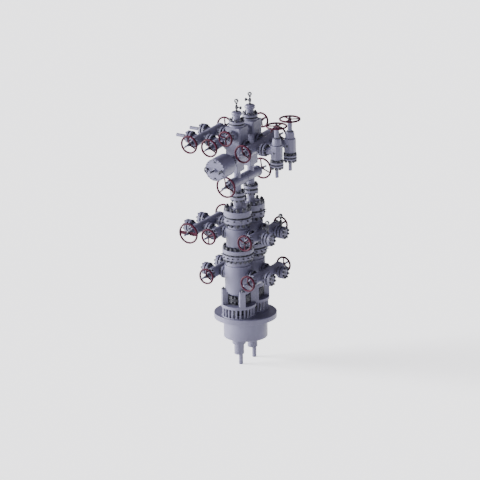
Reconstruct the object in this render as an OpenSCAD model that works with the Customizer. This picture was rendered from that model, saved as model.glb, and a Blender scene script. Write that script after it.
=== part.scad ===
// Twin gas wellhead: two mirrored stacks of casing head, tubing head and valve tree on one base plate.
// Millimetres, +Z up. The origin is the centre of the base plate's underside, midway between the wells.
// +X runs along the wings to the chokes, +Y from the front well to the rear well.

/* [Wells] */
// Distance between the two well axes
well_spacing = 540; // [520:5:600]
// Air left between the flat-cut sides of the two stacks
twin_gap = 14; // [6:1:24]

/* [Base plate and conductor] */
// Diameter of the base plate
base_d = 1310; // [1280:5:1500]
// Thickness of the base plate
base_t = 110; // [80:5:140]
// Diameter of the raised pad under each well
pad_d = 712; // [700:2:730]
// Height of the raised pad
pad_t = 20; // [10:1:30]
// Outer diameter of the conductor pipe
conductor_d = 914; // [900:2:960]
// Wall of the conductor pipe
conductor_wall = 25; // [12:1:40]
// Length of the conductor stub below the base plate
conductor_len = 421; // [300:5:600]
// Thickness of the plate that closes the conductor's lower end
conductor_end_t = 25; // [15:1:40]
// Depth of the recess that locates the conductor in the base plate
conductor_seat = 20; // [10:1:30]
// Radial clearance of the conductor in its recess and of the casings in the end plate
conductor_fit = 1; // [0.5:0.5:3]

/* [Casing and tubing stubs] */
// Outer diameter of the surface casing
casing_d = 285; // [270:1:310]
// Outer diameter of the production casing
liner_d = 206; // [190:1:220]
// Outer diameter of the tubing
tubing_d = 89; // [70:1:95]
// Wall of the three pipes
pipe_wall = 11; // [6:1:13]
// Sideways place of the tubing in its casing
tubing_offset = 40; // [0:1:42]
// Length of surface casing below the conductor
casing_stub = 91; // [50:1:150]
// Length of production casing below the conductor
liner_stub = 319; // [220:1:400]
// Length of tubing below the conductor
tubing_stub = 543; // [450:1:650]

/* [Support cage] */
// Number of places round the circle of jack posts
jack_count = 24; // [16:2:30]
// Diameter of a jack post
jack_d = 44; // [34:1:60]
// Height of a jack post
jack_h = 185; // [150:5:220]
// Outer diameter of the landing ring
cage_d = 728; // [716:2:740]
// Thickness of the landing ring
cage_ring_t = 61; // [45:1:80]
// Bore of the landing ring
cage_bore = 330; // [310:2:350]
// Height of the cage posts above the landing ring
cage_post_h = 332; // [300:2:380]
// Width of a cage post
cage_post_w = 118; // [90:1:140]
// Clearance between the cage posts and the casing head
cage_fit = 3; // [1:0.5:6]
// Diameter inside the posts below the ledge that the casing head stands on
cage_ledge_d = 500; // [496:2:540]

/* [Casing head] */
// Diameter of the neck inside the cage
neck_d = 340; // [332:2:400]
// Diameter of the bolted collar on the neck
collar_d = 470; // [450:2:490]
// Thickness of the bolted collar
collar_t = 62; // [45:1:80]
// Height of the neck below the body
neck_h = 275; // [240:5:320]
// Diameter of the foot under the casing head body
casing_foot_d = 490; // [470:2:492]
// Height of the foot under the casing head body
casing_foot_h = 56; // [40:1:70]
// Diameter of the casing head body
casing_head_d = 566; // [550:2:580]
// Height of the casing head body
casing_head_h = 575; // [560:5:680]
// Diameter of the casing head's top flange
big_flange_d = 657; // [640:1:680]
// Thickness of the casing head's top flange
casing_flange_t = 94; // [80:1:110]
// Diameter of the hub under the casing head's top flange
casing_hub_d = 510; // [490:2:530]
// Height of the casing head's hub and top flange together
casing_top_h = 245; // [200:1:300]

/* [Tubing head] */
// Thickness of the tubing head's bottom flange
tubing_flange_t = 90; // [60:1:110]
// Diameter of the tubing head body
tubing_head_d = 500; // [480:2:520]
// Height of the tubing head body
tubing_head_h = 443; // [400:1:520]
// Diameter of the tubing head's top flange and of the adapter
head_flange_d = 585; // [570:1:600]
// Thickness of the tubing head's top flange
head_flange_t = 114; // [90:1:130]
// Diameter of the hub under the tubing head's top flange
tubing_hub_d = 425; // [400:1:440]
// Height of the tubing head's hub and top flange together
tubing_top_h = 242; // [200:2:300]
// Stand-off of the bolted flange faces of the heads and of the tree's foot
head_gap = 24; // [14:1:30]

/* [Head adapter and tree base] */
// Thickness of the adapter flange
adapter_t = 129; // [100:1:150]
// Diameter of the adapter neck
adapter_neck_d = 170; // [150:1:200]
// Height of the adapter neck with its flared foot
adapter_neck_h = 229; // [190:1:270]
// Diameter of the flared foot of the adapter neck
adapter_foot_d = 260; // [220:2:290]
// Height of the flared foot
adapter_foot_h = 50; // [30:1:70]
// Diameter of the flanges under the tree
tree_flange_d = 316; // [300:2:340]
// Thickness of the flanges under the tree
tree_flange_t = 62; // [45:1:70]

/* [Tree] */
// Height of the lower master valve above its flange
master_h = 454; // [440:2:520]
// Diameter of the neck under the lower master valve's barrel
master_neck_d = 170; // [150:2:190]
// Diameter of the neck over the lower master valve's barrel
master_top_d = 140; // [120:2:160]
// Width along X of the slim foot of the tree block
block_foot_x = 180; // [160:2:210]
// Width along Y of the slim foot of the tree block
block_foot_y = 300; // [270:2:340]
// Height of the slim foot of the tree block
block_foot_h = 346; // [320:2:400]
// Width of the tree block across its flats
block_w = 356; // [330:2:380]
// Height of the tree block
block_h = 981; // [975:2:1040]
// Chamfer of the block's upright corners
block_chamfer = 20; // [10:1:40]
// Height of the round pad on the block, under the tree cap
block_pad_h = 50; // [30:1:70]
// Height of the upper master valve above the block's underside
upper_master_z = 270; // [250:2:300]
// Height of the wings above the block's underside
wing_z = 562; // [550:1:600]
// Height of the swab valve above the block's underside
swab_z = 827; // [815:1:840]
// Diameter of the tree cap's flange
cap_flange_d = 329; // [310:1:350]
// Thickness of the tree cap's flange
cap_flange_t = 58; // [45:1:70]
// Diameter of the tree cap's neck
cap_neck_d = 164; // [130:1:174]
// Height of the tree cap's neck
cap_neck_h = 116; // [90:1:140]
// Diameter of the tree cap's nut
cap_nut_d = 216; // [200:1:240]
// Height of the tree cap's nut
cap_nut_h = 78; // [60:1:100]

/* [Gate valves] */
// Length of a gate valve between its flange faces
valve_length = 473; // [450:1:520]
// Diameter of the valve body, whose axis is the stem's
valve_d = 216; // [190:1:230]
// Distance from the flow line to the bonnet joint
valve_front = 238; // [210:1:250]
// Diameter of the valve's end flanges
end_flange_d = 267; // [250:1:290]
// Thickness of the valve's end flanges
end_flange_t = 48; // [36:1:60]
// Diameter of the necks between the body and the end flanges
valve_neck_d = 160; // [130:1:180]
// Diameter of the bonnet flange
bonnet_flange_d = 236; // [220:1:250]
// Thickness of the bonnet flange
bonnet_flange_t = 40; // [30:1:50]
// Diameter of the bonnet
bonnet_d = 116; // [100:1:130]
// Length of the bonnet
bonnet_len = 74; // [50:1:90]
// Diameter of the stem housing
housing_d = 66; // [56:1:80]
// Stand-off of bolted flange faces
face_gap = 12; // [8:1:16]
// Diameter of the ring that closes the stand-off
ring_d = 176; // [165:1:190]

/* [Handwheels] */
// Distance from the flow line to the middle of a wheel
wheel_reach = 458; // [440:1:500]
// Outer diameter of the wheels on the casing head
casing_wheel_d = 348; // [300:2:380]
// Outer diameter of the smaller wheels on the tubing head
annulus_wheel_d = 352; // [300:2:380]
// Outer diameter of the wheel with two blades
blade_wheel_d = 452; // [420:2:460]
// Outer diameter of the wing wheels
wing_wheel_d = 400; // [360:2:420]
// Outer diameter of the swab wheel
swab_wheel_d = 340; // [300:2:360]
// Outer diameter of the lower master wheel
master_wheel_d = 465; // [430:2:480]
// Outer diameter of the choke wheel
choke_wheel_d = 456; // [420:2:470]
// Turn of the first spoke on the casing head's wheels
casing_wheel_turn = 90; // [0:5:115]
// Turn of the first spoke on the tubing head's wheels
annulus_wheel_turn = 30; // [0:5:115]
// Turn of the first spoke on the wing wheels
wing_wheel_turn = 95; // [0:5:115]
// Turn of the first spoke on the swab wheels
swab_wheel_turn = 40; // [0:5:115]
// Turn of the first spoke on the lower master wheels
master_wheel_turn = 100; // [0:5:115]
// Turn of the first spoke on the choke wheels
choke_wheel_turn = 36; // [0:1:115]
// Thickness of a wheel's rim
rim_d = 28; // [20:1:32]
// Thickness of a wheel's spokes
spoke_d = 22; // [16:1:26]
// Number of spokes
spoke_count = 3; // [3:1:5]
// Diameter of a wheel's hub
hub_d = 70; // [60:1:80]
// Length of a wheel's hub
hub_len = 46; // [36:1:60]
// Diameter of the stem inside the hub
stem_d = 34; // [28:1:40]
// Length of the choke's stem past the hub
stem_end = 24; // [12:1:34]
// Diameter of the guard over a valve's stem in front of the hub
guard_d = 44; // [38:1:60]
// Length of the guard over a valve's stem
guard_len = 150; // [100:5:200]
// Radial and end clearance of a hub on its stem
hub_fit = 0.3; // [0.3:0.1:0.8]
// Width of a flat blade spoke
blade_w = 74; // [50:1:90]
// Thickness of a flat blade spoke
blade_t = 12; // [8:1:16]

/* [Outlets of the heads] */
// Height of the casing outlets above the casing head body's foot
casing_outlet_z = 349; // [300:1:400]
// Distance from the well to the casing valves' stems
casing_valve_x = 500; // [490:1:560]
// Height of the annulus outlets above the tubing head body's foot
annulus_outlet_z = 287; // [250:1:300]
// Distance from the well to the inner annulus valves' stems
annulus_valve_x = 436; // [430:1:480]
// Diameter of the outlet bosses
boss_d = 267; // [240:1:290]
// Reach of the outlet bosses past the round bodies
boss_proud = 14; // [8:1:20]
// Thickness of a blind flange
blind_t = 66; // [50:1:80]
// Diameter of the plug on a blind flange
plug_d = 74; // [60:1:90]
// Length of the plug on a blind flange
plug_len = 16; // [8:1:40]
// Thickness of the spool ring on the right annulus valve
spool_t = 62; // [45:1:80]

/* [Wings and choke] */
// Distance from the well to the inner left wing valve's stem
wing_left_x = 395; // [390:1:440]
// Distance from the well to the right wing valve's stem
wing_right_x = 416; // [400:1:450]
// Length of a companion flange's neck
companion_neck = 46; // [30:1:80]
// Diameter of the flow pipe stubs
flow_pipe_d = 73; // [60:1:90]
// Length of the flow pipe stub on the left wing
flow_pipe_len = 232; // [150:2:300]
// Distance from the right flange joint to the choke's axis
choke_reach = 300; // [280:1:340]
// Width of the choke body across its flats
choke_w = 234; // [210:1:250]
// Height of the choke body above the flow line
choke_up = 150; // [130:1:170]
// Depth of the choke body below the flow line
choke_down = 150; // [130:1:170]
// Diameter of the choke's collar
choke_collar_d = 204; // [180:1:220]
// Height of the choke's collar
choke_collar_h = 150; // [120:1:180]
// Diameter of the choke's stem housing
choke_housing_d = 96; // [80:1:110]
// Height of the choke's stem housing
choke_housing_h = 240; // [200:1:280]
// Diameter of the choke's outlet flanges
outlet_flange_d = 285; // [260:1:300]
// Length of the neck above the outlet flanges
outlet_neck_h = 56; // [40:1:80]
// Height of the cone from the lower outlet flange to the pipe
outlet_cone_h = 44; // [20:1:80]
// Length of the outlet pipe stub with its cone
outlet_pipe_len = 240; // [150:2:280]

/* [Actuator] */
// Outer diameter of the actuator cylinder
actuator_d = 478; // [440:2:480]
// Length of the actuator cylinder
actuator_len = 460; // [400:5:520]
// Distance from the well to the back of the actuator cylinder
actuator_y = 427; // [400:1:450]
// Diameter of the actuator's neck
actuator_neck_d = 170; // [120:1:180]
// Diameter of the actuator's end cover
actuator_cover_d = 466; // [440:2:476]
// Thickness of the actuator's end cover
actuator_cover_t = 14; // [8:1:24]
// Diameter of the boss on the end cover
actuator_boss_d = 80; // [60:1:100]
// Length of the boss on the end cover
actuator_boss_len = 30; // [15:1:50]
// Diameter of the rod that comes out of the boss
actuator_rod_d = 38; // [24:1:44]
// Reach of the rod past the end cover
actuator_rod_len = 185; // [120:1:220]

/* [Gauges] */
// Diameter of a gauge case
gauge_d = 92; // [80:1:110]
// Depth of a gauge case
gauge_t = 42; // [30:1:50]
// Height from the seat to the middle of the gauge
gauge_rise = 230; // [200:1:260]
// Diameter of the gauge pipe
gauge_pipe_d = 26; // [18:1:30]
// Width of the needle valve body
needle_w = 50; // [40:1:60]
// Height from the seat to the needle valve
needle_z = 92; // [70:1:110]
// Reach of the needle valve's handle
needle_reach = 96; // [70:1:120]
// Width of the needle valve's handle
needle_handle = 62; // [50:1:80]
// Thickness of the needle valve's handle
needle_handle_d = 26; // [16:1:32]

/* [Hidden] */
$fn = 64;
// How far a cut runs past the face that it opens
past = 1;
far = 3000;

paint = "#a9abb8";
shade = "#7d8090";
wheel_red = "#7a2430";
steel = "#55565c";

// The plane beyond which nothing of one stack reaches, seen from that stack's axis
side_limit = (well_spacing - twin_gap) / 2;

// Heights of the joints, from the foot up
jack_z = base_t + pad_t;
cage_z = jack_z + jack_h;
neck_z = cage_z + cage_ring_t;
casing_body_z = neck_z + neck_h;
casing_top_z = casing_body_z + casing_head_h;
tubing_flange_z = casing_top_z + casing_top_h + head_gap;
tubing_body_z = tubing_flange_z + tubing_flange_t;
tubing_top_z = tubing_body_z + tubing_head_h;
adapter_z = tubing_top_z + tubing_top_h + head_gap;
adapter_neck_z = adapter_z + adapter_t;
tree_foot_z = adapter_neck_z + adapter_neck_h + tree_flange_t + head_gap;
master_z = tree_foot_z + tree_flange_t;
block_z = master_z + master_h;
cap_z = block_z + block_h + block_pad_h + face_gap;
cap_nut_z = cap_z + cap_flange_t + cap_neck_h;
gauge_z = cap_nut_z + cap_nut_h;

// Heights of the flow lines
casing_line_z = casing_body_z + casing_outlet_z;
annulus_line_z = tubing_body_z + annulus_outlet_z;
wing_line_z = block_z + wing_z;
master_line_z = master_z + master_h / 2;
upper_master_line_z = block_z + upper_master_z;
swab_line_z = block_z + swab_z;

// Faces and stem places along the flow lines
joint_pitch = (valve_length + face_gap) / 2;
casing_face = casing_head_d / 2 + boss_proud;
annulus_face = tubing_head_d / 2 + boss_proud;
block_face = block_w / 2;
annulus_outer_x = annulus_valve_x + 2 * joint_pitch;
wing_outer_x = wing_left_x + 2 * joint_pitch;
choke_x = wing_right_x + joint_pitch + choke_reach;
choke_wheel_z = choke_up + choke_collar_h + choke_housing_h + hub_fit + hub_len / 2;
stem_shoulder = wheel_reach - hub_len / 2 - hub_fit;
guard_start = wheel_reach + hub_len / 2 + hub_fit;
guard_tip = guard_start + guard_len;
actuator_front = actuator_y + actuator_len;
cover_front = actuator_front + actuator_cover_t;

// A round bar along X from x0 to x1
module bar_x(x0, x1, d) {
  translate([x0, 0, 0]) rotate([0, 90, 0]) cylinder(h = x1 - x0, d = d);
}

// A round bar along Y from y0 to y1
module bar_y(y0, y1, d) {
  translate([0, y1, 0]) rotate([90, 0, 0]) cylinder(h = y1 - y0, d = d);
}

// A round bar along Z from z0 to z1
module bar_z(z0, z1, d) {
  translate([0, 0, z0]) cylinder(h = z1 - z0, d = d);
}

// What is left of a stack's piece at the flat between the wells
module cut_flat() {
  difference() {
    children();
    translate([-far, side_limit, -far]) cube([2 * far, far, 3 * far]);
  }
}

// Places a piece of the front well
module front() {
  translate([0, -well_spacing / 2, 0]) children();
}

// Places the mirrored piece of the rear well
module rear() {
  mirror([0, 1, 0]) front() children();
}

// Mirrors a piece to the left side of its well
module left() {
  mirror([1, 0, 0]) children();
}

// The raised ring between two flange faces, below the face at z
module ring_joint_z(z, d, gap) {
  bar_z(z - gap, z, d);
}

// The hub and the flange on top of a head, from z up
module head_top(z, h, hub, d, t) {
  bar_z(z, z + h, hub);
  bar_z(z + h - t, z + h, d);
}

// The ring between a flange face at x and the part before it
module ring_joint_x(x) {
  bar_x(x - face_gap, x, ring_d);
}

// A flange that starts at x
module end_flange(x, d = end_flange_d, t = end_flange_t) {
  bar_x(x, x + t, d);
}

// Bonnet, stem housing, stem and stem guard of a valve whose bonnet joint is at y = -joint_y
module valve_top(joint_y) {
  bar_y(-joint_y - bonnet_flange_t, -joint_y, bonnet_flange_d);
  bar_y(-joint_y - bonnet_flange_t - bonnet_len, -joint_y - bonnet_flange_t, bonnet_d);
  bar_y(-stem_shoulder, -joint_y - bonnet_flange_t - bonnet_len, housing_d);
  bar_y(-guard_start, -stem_shoulder, stem_d);
  bar_y(-guard_tip, -guard_start, guard_d);
}

// A gate valve with its stem at x, from the seal face x_in to the far flange face
module gate_valve(x, x_in) {
  ring_joint_x(x_in + face_gap);
  end_flange(x_in + face_gap);
  bar_x(x_in + face_gap, x + valve_length / 2, valve_neck_d);
  end_flange(x + valve_length / 2 - end_flange_t);
  translate([x, 0, 0]) {
    bar_y(-valve_front, side_limit, valve_d);
    valve_top(valve_front);
  }
}

// A blind flange with its plug, bolted to a flange face at x
module blind_flange(x) {
  ring_joint_x(x + face_gap);
  end_flange(x + face_gap, end_flange_d, blind_t);
  bar_x(x + face_gap + blind_t, x + face_gap + blind_t + plug_len, plug_d);
}

// A companion flange with its flow pipe, bolted to a flange face at x
module flow_stub(x) {
  flange_x = x + face_gap;
  neck_x = flange_x + end_flange_t;
  pipe_x = neck_x + companion_neck;
  ring_joint_x(flange_x);
  end_flange(flange_x);
  translate([neck_x, 0, 0]) rotate([0, 90, 0])
    cylinder(h = companion_neck, d1 = valve_neck_d, d2 = flow_pipe_d);
  bar_x(pipe_x, pipe_x + flow_pipe_len, flow_pipe_d);
}

// A needle valve with its gauge, standing on z = 0, with the handle towards +X
module gauge_set() {
  bar_z(0, gauge_rise, gauge_pipe_d);
  translate([-needle_w / 2, -needle_w / 2, needle_z - needle_w / 2]) cube(needle_w);
  translate([0, 0, needle_z]) {
    bar_x(0, needle_reach, gauge_pipe_d / 2);
    translate([needle_reach, 0, 0]) bar_z(-needle_handle / 2, needle_handle / 2, needle_handle_d);
  }
  translate([0, 0, gauge_rise]) bar_y(-gauge_t / 2, gauge_t / 2, gauge_d);
}

// Rim and bored hub of a wheel whose axis is Y
module wheel_ring(d) {
  rotate([90, 0, 0]) rotate_extrude() translate([(d - rim_d) / 2, 0]) circle(d = rim_d);
  difference() {
    bar_y(-hub_len / 2, hub_len / 2, hub_d);
    bar_y(-hub_len, hub_len, stem_d + 2 * hub_fit);
  }
}

// Distance from a wheel's axis to the inner end of a spoke
spoke_start = (stem_d / 2 + hub_fit + hub_d / 2) / 2;

// A wheel with round spokes, the first of them turned from +X towards +Z
module spoked_wheel(d, turn) {
  color(wheel_red) {
    wheel_ring(d);
    for (i = [0 : spoke_count - 1])
      rotate([0, -turn - i * 360 / spoke_count, 0]) bar_x(spoke_start, (d - rim_d) / 2, spoke_d);
  }
}

// A wheel with two flat blades
module bladed_wheel(d) {
  color(wheel_red) {
    wheel_ring(d);
    for (turn = [0, 180])
      rotate([0, turn, 0])
        translate([spoke_start, -blade_t / 2, -blade_w / 2])
          cube([(d - rim_d) / 2 - spoke_start, blade_t, blade_w]);
  }
}

// Places a wheel on the stem at x on the flow line at z
module on_stem(x, z) {
  translate([x, -wheel_reach, z]) children();
}

module base_plate() {
  color(shade) difference() {
    union() {
      cylinder(h = base_t, d = base_d, $fn = 128);
      for (side = [-1, 1]) translate([0, side * well_spacing / 2, 0])
        cylinder(h = base_t + pad_t, d = pad_d, $fn = 128);
    }
    translate([0, 0, -past]) cylinder(h = conductor_seat + past, d = conductor_d + 2 * conductor_fit, $fn = 128);
  }
}

module conductor() {
  inner_d = conductor_d - 2 * conductor_wall;
  color(paint) difference() {
    translate([0, 0, -conductor_len]) cylinder(h = conductor_len + conductor_seat, d = conductor_d, $fn = 128);
    translate([0, 0, -conductor_len + conductor_end_t]) cylinder(h = conductor_len + conductor_seat, d = inner_d);
    for (side = [-1, 1]) translate([0, side * well_spacing / 2, 0])
      bar_z(-conductor_len - past, 0, casing_d + 2 * conductor_fit);
  }
}

// A pipe from the base plate down to a stub below the conductor
module hung_pipe(d, stub) {
  difference() {
    bar_z(-conductor_len - stub, conductor_seat, d);
    bar_z(-conductor_len - stub - past, conductor_seat + past, d - 2 * pipe_wall);
  }
}

module casing_strings() {
  color(paint) {
    hung_pipe(casing_d, casing_stub);
    hung_pipe(liner_d, liner_stub);
    translate([tubing_offset, 0, 0]) hung_pipe(tubing_d, tubing_stub);
  }
}

module jack_posts() {
  ring_r = (pad_d - jack_d) / 2 - jack_d / 4;
  color(paint) for (i = [0 : jack_count - 1]) {
    turn = (i + 0.5) * 360 / jack_count;
    if (ring_r * sin(turn) + jack_d / 2 < side_limit)
      translate([ring_r * cos(turn), ring_r * sin(turn), 0]) bar_z(jack_z, cage_z, jack_d);
  }
}

module support_cage() {
  color(paint) cut_flat() difference() {
    intersection() {
      bar_z(cage_z, neck_z + cage_post_h, cage_d);
      union() {
        bar_z(cage_z, neck_z, cage_d);
        for (turn = [45 : 90 : 315])
          rotate([0, 0, turn]) translate([0, -cage_post_w / 2, cage_z])
            cube([cage_d, cage_post_w, cage_ring_t + cage_post_h]);
      }
    }
    bar_z(cage_z - past, neck_z + past, cage_bore);
    bar_z(neck_z, casing_body_z + past, cage_ledge_d);
    bar_z(casing_body_z, neck_z + cage_post_h + past, casing_head_d + 2 * cage_fit);
  }
}

// Height of the middle of the bolted collar on the casing head's neck
collar_z = neck_z + neck_h * 0.4;

// The casing head stands on the casing, which comes up through the landing ring
module casing_head() {
  color(paint) {
    bar_z(jack_z, neck_z, casing_d);
    cut_flat() {
      bar_z(neck_z, casing_body_z, neck_d);
      bar_z(collar_z - collar_t / 2, collar_z + collar_t / 2, collar_d);
      bar_z(casing_body_z - casing_foot_h, casing_body_z, casing_foot_d);
      bar_z(casing_body_z, casing_top_z, casing_head_d);
      head_top(casing_top_z, casing_top_h, casing_hub_d, big_flange_d, casing_flange_t);
    }
    translate([0, 0, casing_line_z]) bar_x(-casing_face, casing_face, boss_d);
  }
}

module tubing_head() {
  color(paint) {
    cut_flat() {
      ring_joint_z(tubing_flange_z, casing_hub_d, head_gap);
      bar_z(tubing_flange_z, tubing_body_z, big_flange_d);
      bar_z(tubing_body_z, tubing_top_z, tubing_head_d);
      head_top(tubing_top_z, tubing_top_h, tubing_hub_d, head_flange_d, head_flange_t);
    }
    translate([0, 0, annulus_line_z]) bar_x(-annulus_face, annulus_face, boss_d);
  }
}

module head_adapter() {
  top_z = tree_foot_z - head_gap;
  color(paint) {
    cut_flat() {
      ring_joint_z(adapter_z, tubing_hub_d, head_gap);
      bar_z(adapter_z, adapter_neck_z, head_flange_d);
    }
    translate([0, 0, adapter_neck_z]) cylinder(h = adapter_foot_h, d1 = adapter_foot_d, d2 = adapter_neck_d);
    bar_z(adapter_neck_z, top_z - tree_flange_t, adapter_neck_d);
    bar_z(top_z - tree_flange_t, top_z, tree_flange_d);
  }
}

// A square with cut corners, as the block is seen from above
module chamfered_square(w, c) {
  h = w / 2;
  polygon([
    [h, c - h], [h, h - c], [h - c, h], [c - h, h],
    [-h, h - c], [-h, c - h], [c - h, -h], [h - c, -h]
  ]);
}

module master_valve() {
  color(paint) {
    ring_joint_z(tree_foot_z, adapter_neck_d, head_gap);
    bar_z(tree_foot_z, master_z, tree_flange_d);
    bar_z(master_z, master_line_z, master_neck_d);
    bar_z(master_line_z, block_z, master_top_d);
    translate([0, 0, master_line_z]) {
      bar_y(-valve_front, side_limit, valve_d);
      valve_top(valve_front);
    }
  }
}

module tree_block() {
  color(paint) {
    translate([-block_foot_x / 2, -block_foot_y / 2, block_z])
      cube([block_foot_x, block_foot_y, block_foot_h]);
    translate([0, 0, block_z + block_foot_h])
      linear_extrude(block_h - block_foot_h) chamfered_square(block_w, block_chamfer);
    bar_z(block_z + block_h, cap_z - face_gap, cap_flange_d);
    translate([0, 0, upper_master_line_z]) bar_y(-block_face, side_limit, valve_d);
    translate([0, 0, swab_line_z]) {
      bar_y(-valve_front, side_limit, valve_d);
      valve_top(valve_front);
    }
  }
}

module tree_cap() {
  color(paint) {
    ring_joint_z(cap_z, ring_d, face_gap);
    bar_z(cap_z, cap_z + cap_flange_t, cap_flange_d);
    bar_z(cap_z, cap_nut_z, cap_neck_d);
    bar_z(cap_nut_z, gauge_z, cap_nut_d);
  }
}

// The top gauge, whose handle is turned about its pipe
module top_gauge(turn = 0) {
  color(steel) translate([0, 0, gauge_z]) rotate([0, 0, turn]) gauge_set();
}

module actuator() {
  color(paint) translate([0, 0, upper_master_line_z]) {
    bar_y(-actuator_y, -block_face, actuator_neck_d);
    bar_y(-block_face - bonnet_flange_t, -block_face, bonnet_flange_d);
    bar_y(-actuator_front, -actuator_y, actuator_d);
    bar_y(-cover_front, -actuator_front, actuator_cover_d);
    bar_y(-cover_front - actuator_boss_len, -cover_front, actuator_boss_d);
    bar_y(-cover_front - actuator_rod_len, -cover_front, actuator_rod_d);
  }
}

module casing_valves() {
  far_face = casing_valve_x + valve_length / 2;
  color(paint) translate([0, 0, casing_line_z]) {
    gate_valve(casing_valve_x, casing_face);
    blind_flange(far_face);
    left() {
      gate_valve(casing_valve_x, casing_face);
      blind_flange(far_face);
    }
  }
}

module annulus_valves_left() {
  color(paint) translate([0, 0, annulus_line_z]) left() {
    gate_valve(annulus_valve_x, annulus_face);
    gate_valve(annulus_outer_x, annulus_valve_x + valve_length / 2);
    blind_flange(annulus_outer_x + valve_length / 2);
  }
}

module annulus_valve_right() {
  far_face = annulus_valve_x + valve_length / 2;
  color(paint) translate([0, 0, annulus_line_z]) {
    gate_valve(annulus_valve_x, annulus_face);
    ring_joint_x(far_face + face_gap);
    end_flange(far_face + face_gap, end_flange_d, spool_t);
    blind_flange(far_face + face_gap + spool_t);
    translate([far_face + face_gap + spool_t / 2, 0, end_flange_d / 2 - past]) left() gauge_set();
  }
}

module wing_valves_left() {
  color(paint) translate([0, 0, wing_line_z]) left() {
    gate_valve(wing_left_x, block_face);
    gate_valve(wing_outer_x, wing_left_x + valve_length / 2);
    flow_stub(wing_outer_x + valve_length / 2);
  }
}

module wing_valve_right() {
  color(paint) translate([0, 0, wing_line_z]) gate_valve(wing_right_x, block_face);
}

module choke() {
  inlet_x = wing_right_x + valve_length / 2 + face_gap;
  flange_z = -choke_down - outlet_neck_h;
  cone_z = flange_z - 2 * end_flange_t - face_gap - outlet_cone_h;
  color(paint) translate([0, 0, wing_line_z]) {
    ring_joint_x(inlet_x);
    end_flange(inlet_x);
    bar_x(inlet_x, choke_x, valve_neck_d);
    translate([choke_x, 0, 0]) {
      translate([0, 0, -choke_down]) rotate([0, 0, 22.5])
        cylinder(h = choke_down + choke_up, d = choke_w / cos(22.5), $fn = 8);
      bar_z(choke_up, choke_up + choke_collar_h, choke_collar_d);
      bar_z(choke_up + choke_collar_h, choke_up + choke_collar_h + choke_housing_h, choke_housing_d);
      bar_z(0, choke_wheel_z + hub_len / 2 + stem_end, stem_d);
      bar_z(flange_z, -choke_down, valve_neck_d);
      bar_z(flange_z - end_flange_t, flange_z, outlet_flange_d);
      bar_z(flange_z - end_flange_t - face_gap, flange_z - end_flange_t, ring_d);
      bar_z(flange_z - 2 * end_flange_t - face_gap, flange_z - end_flange_t - face_gap, outlet_flange_d);
      translate([0, 0, cone_z]) cylinder(h = outlet_cone_h, d1 = flow_pipe_d, d2 = valve_neck_d);
      bar_z(cone_z + outlet_cone_h - outlet_pipe_len, flange_z - end_flange_t, flow_pipe_d);
    }
  }
}

module swab_wheel() {
  on_stem(0, swab_line_z) spoked_wheel(swab_wheel_d, swab_wheel_turn);
}

module master_wheel() {
  on_stem(0, master_line_z) spoked_wheel(master_wheel_d, master_wheel_turn);
}

module wing_wheel_inner() {
  on_stem(-wing_left_x, wing_line_z) spoked_wheel(wing_wheel_d, wing_wheel_turn);
}

module wing_wheel_outer() {
  on_stem(-wing_outer_x, wing_line_z) spoked_wheel(wing_wheel_d, wing_wheel_turn);
}

module wing_wheel_right() {
  on_stem(wing_right_x, wing_line_z) spoked_wheel(wing_wheel_d, wing_wheel_turn);
}

module choke_wheel() {
  translate([choke_x, 0, wing_line_z + choke_wheel_z])
    rotate([90, 0, 0]) spoked_wheel(choke_wheel_d, choke_wheel_turn);
}

module annulus_wheel_inner() {
  on_stem(-annulus_valve_x, annulus_line_z) spoked_wheel(annulus_wheel_d, annulus_wheel_turn);
}

module annulus_wheel_outer() {
  on_stem(-annulus_outer_x, annulus_line_z) bladed_wheel(blade_wheel_d);
}

module annulus_wheel_right() {
  on_stem(annulus_valve_x, annulus_line_z) spoked_wheel(annulus_wheel_d, annulus_wheel_turn);
}

module casing_wheel_left() {
  on_stem(-casing_valve_x, casing_line_z) spoked_wheel(casing_wheel_d, casing_wheel_turn);
}

module casing_wheel_right() {
  on_stem(casing_valve_x, casing_line_z) spoked_wheel(casing_wheel_d, casing_wheel_turn);
}

base_plate();
conductor();
front() casing_strings();  // front_casing_strings
front() jack_posts();  // front_jack_posts
front() support_cage();  // front_support_cage
front() casing_head();  // front_casing_head
front() tubing_head();  // front_tubing_head
front() head_adapter();  // front_head_adapter
front() master_valve();  // front_master_valve
front() tree_block();  // front_tree_block
front() tree_cap();  // front_tree_cap
front() top_gauge();  // front_top_gauge
front() actuator();  // front_actuator
front() casing_valves();  // front_casing_valves
front() annulus_valves_left();  // front_annulus_valves_left
front() annulus_valve_right();  // front_annulus_valve_right
front() wing_valves_left();  // front_wing_valves_left
front() wing_valve_right();  // front_wing_valve_right
front() choke();  // front_choke
front() swab_wheel();  // front_swab_wheel
front() master_wheel();  // front_master_wheel
front() wing_wheel_inner();  // front_wing_wheel_inner
front() wing_wheel_outer();  // front_wing_wheel_outer
front() wing_wheel_right();  // front_wing_wheel_right
front() choke_wheel();  // front_choke_wheel
front() annulus_wheel_inner();  // front_annulus_wheel_inner
front() annulus_wheel_outer();  // front_annulus_wheel_outer
front() annulus_wheel_right();  // front_annulus_wheel_right
front() casing_wheel_left();  // front_casing_wheel_left
front() casing_wheel_right();  // front_casing_wheel_right
rear() casing_strings();  // rear_casing_strings
rear() jack_posts();  // rear_jack_posts
rear() support_cage();  // rear_support_cage
rear() casing_head();  // rear_casing_head
rear() tubing_head();  // rear_tubing_head
rear() head_adapter();  // rear_head_adapter
rear() master_valve();  // rear_master_valve
rear() tree_block();  // rear_tree_block
rear() tree_cap();  // rear_tree_cap
rear() top_gauge(180);  // rear_top_gauge
rear() actuator();  // rear_actuator
rear() casing_valves();  // rear_casing_valves
rear() annulus_valves_left();  // rear_annulus_valves_left
rear() annulus_valve_right();  // rear_annulus_valve_right
rear() wing_valves_left();  // rear_wing_valves_left
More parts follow.
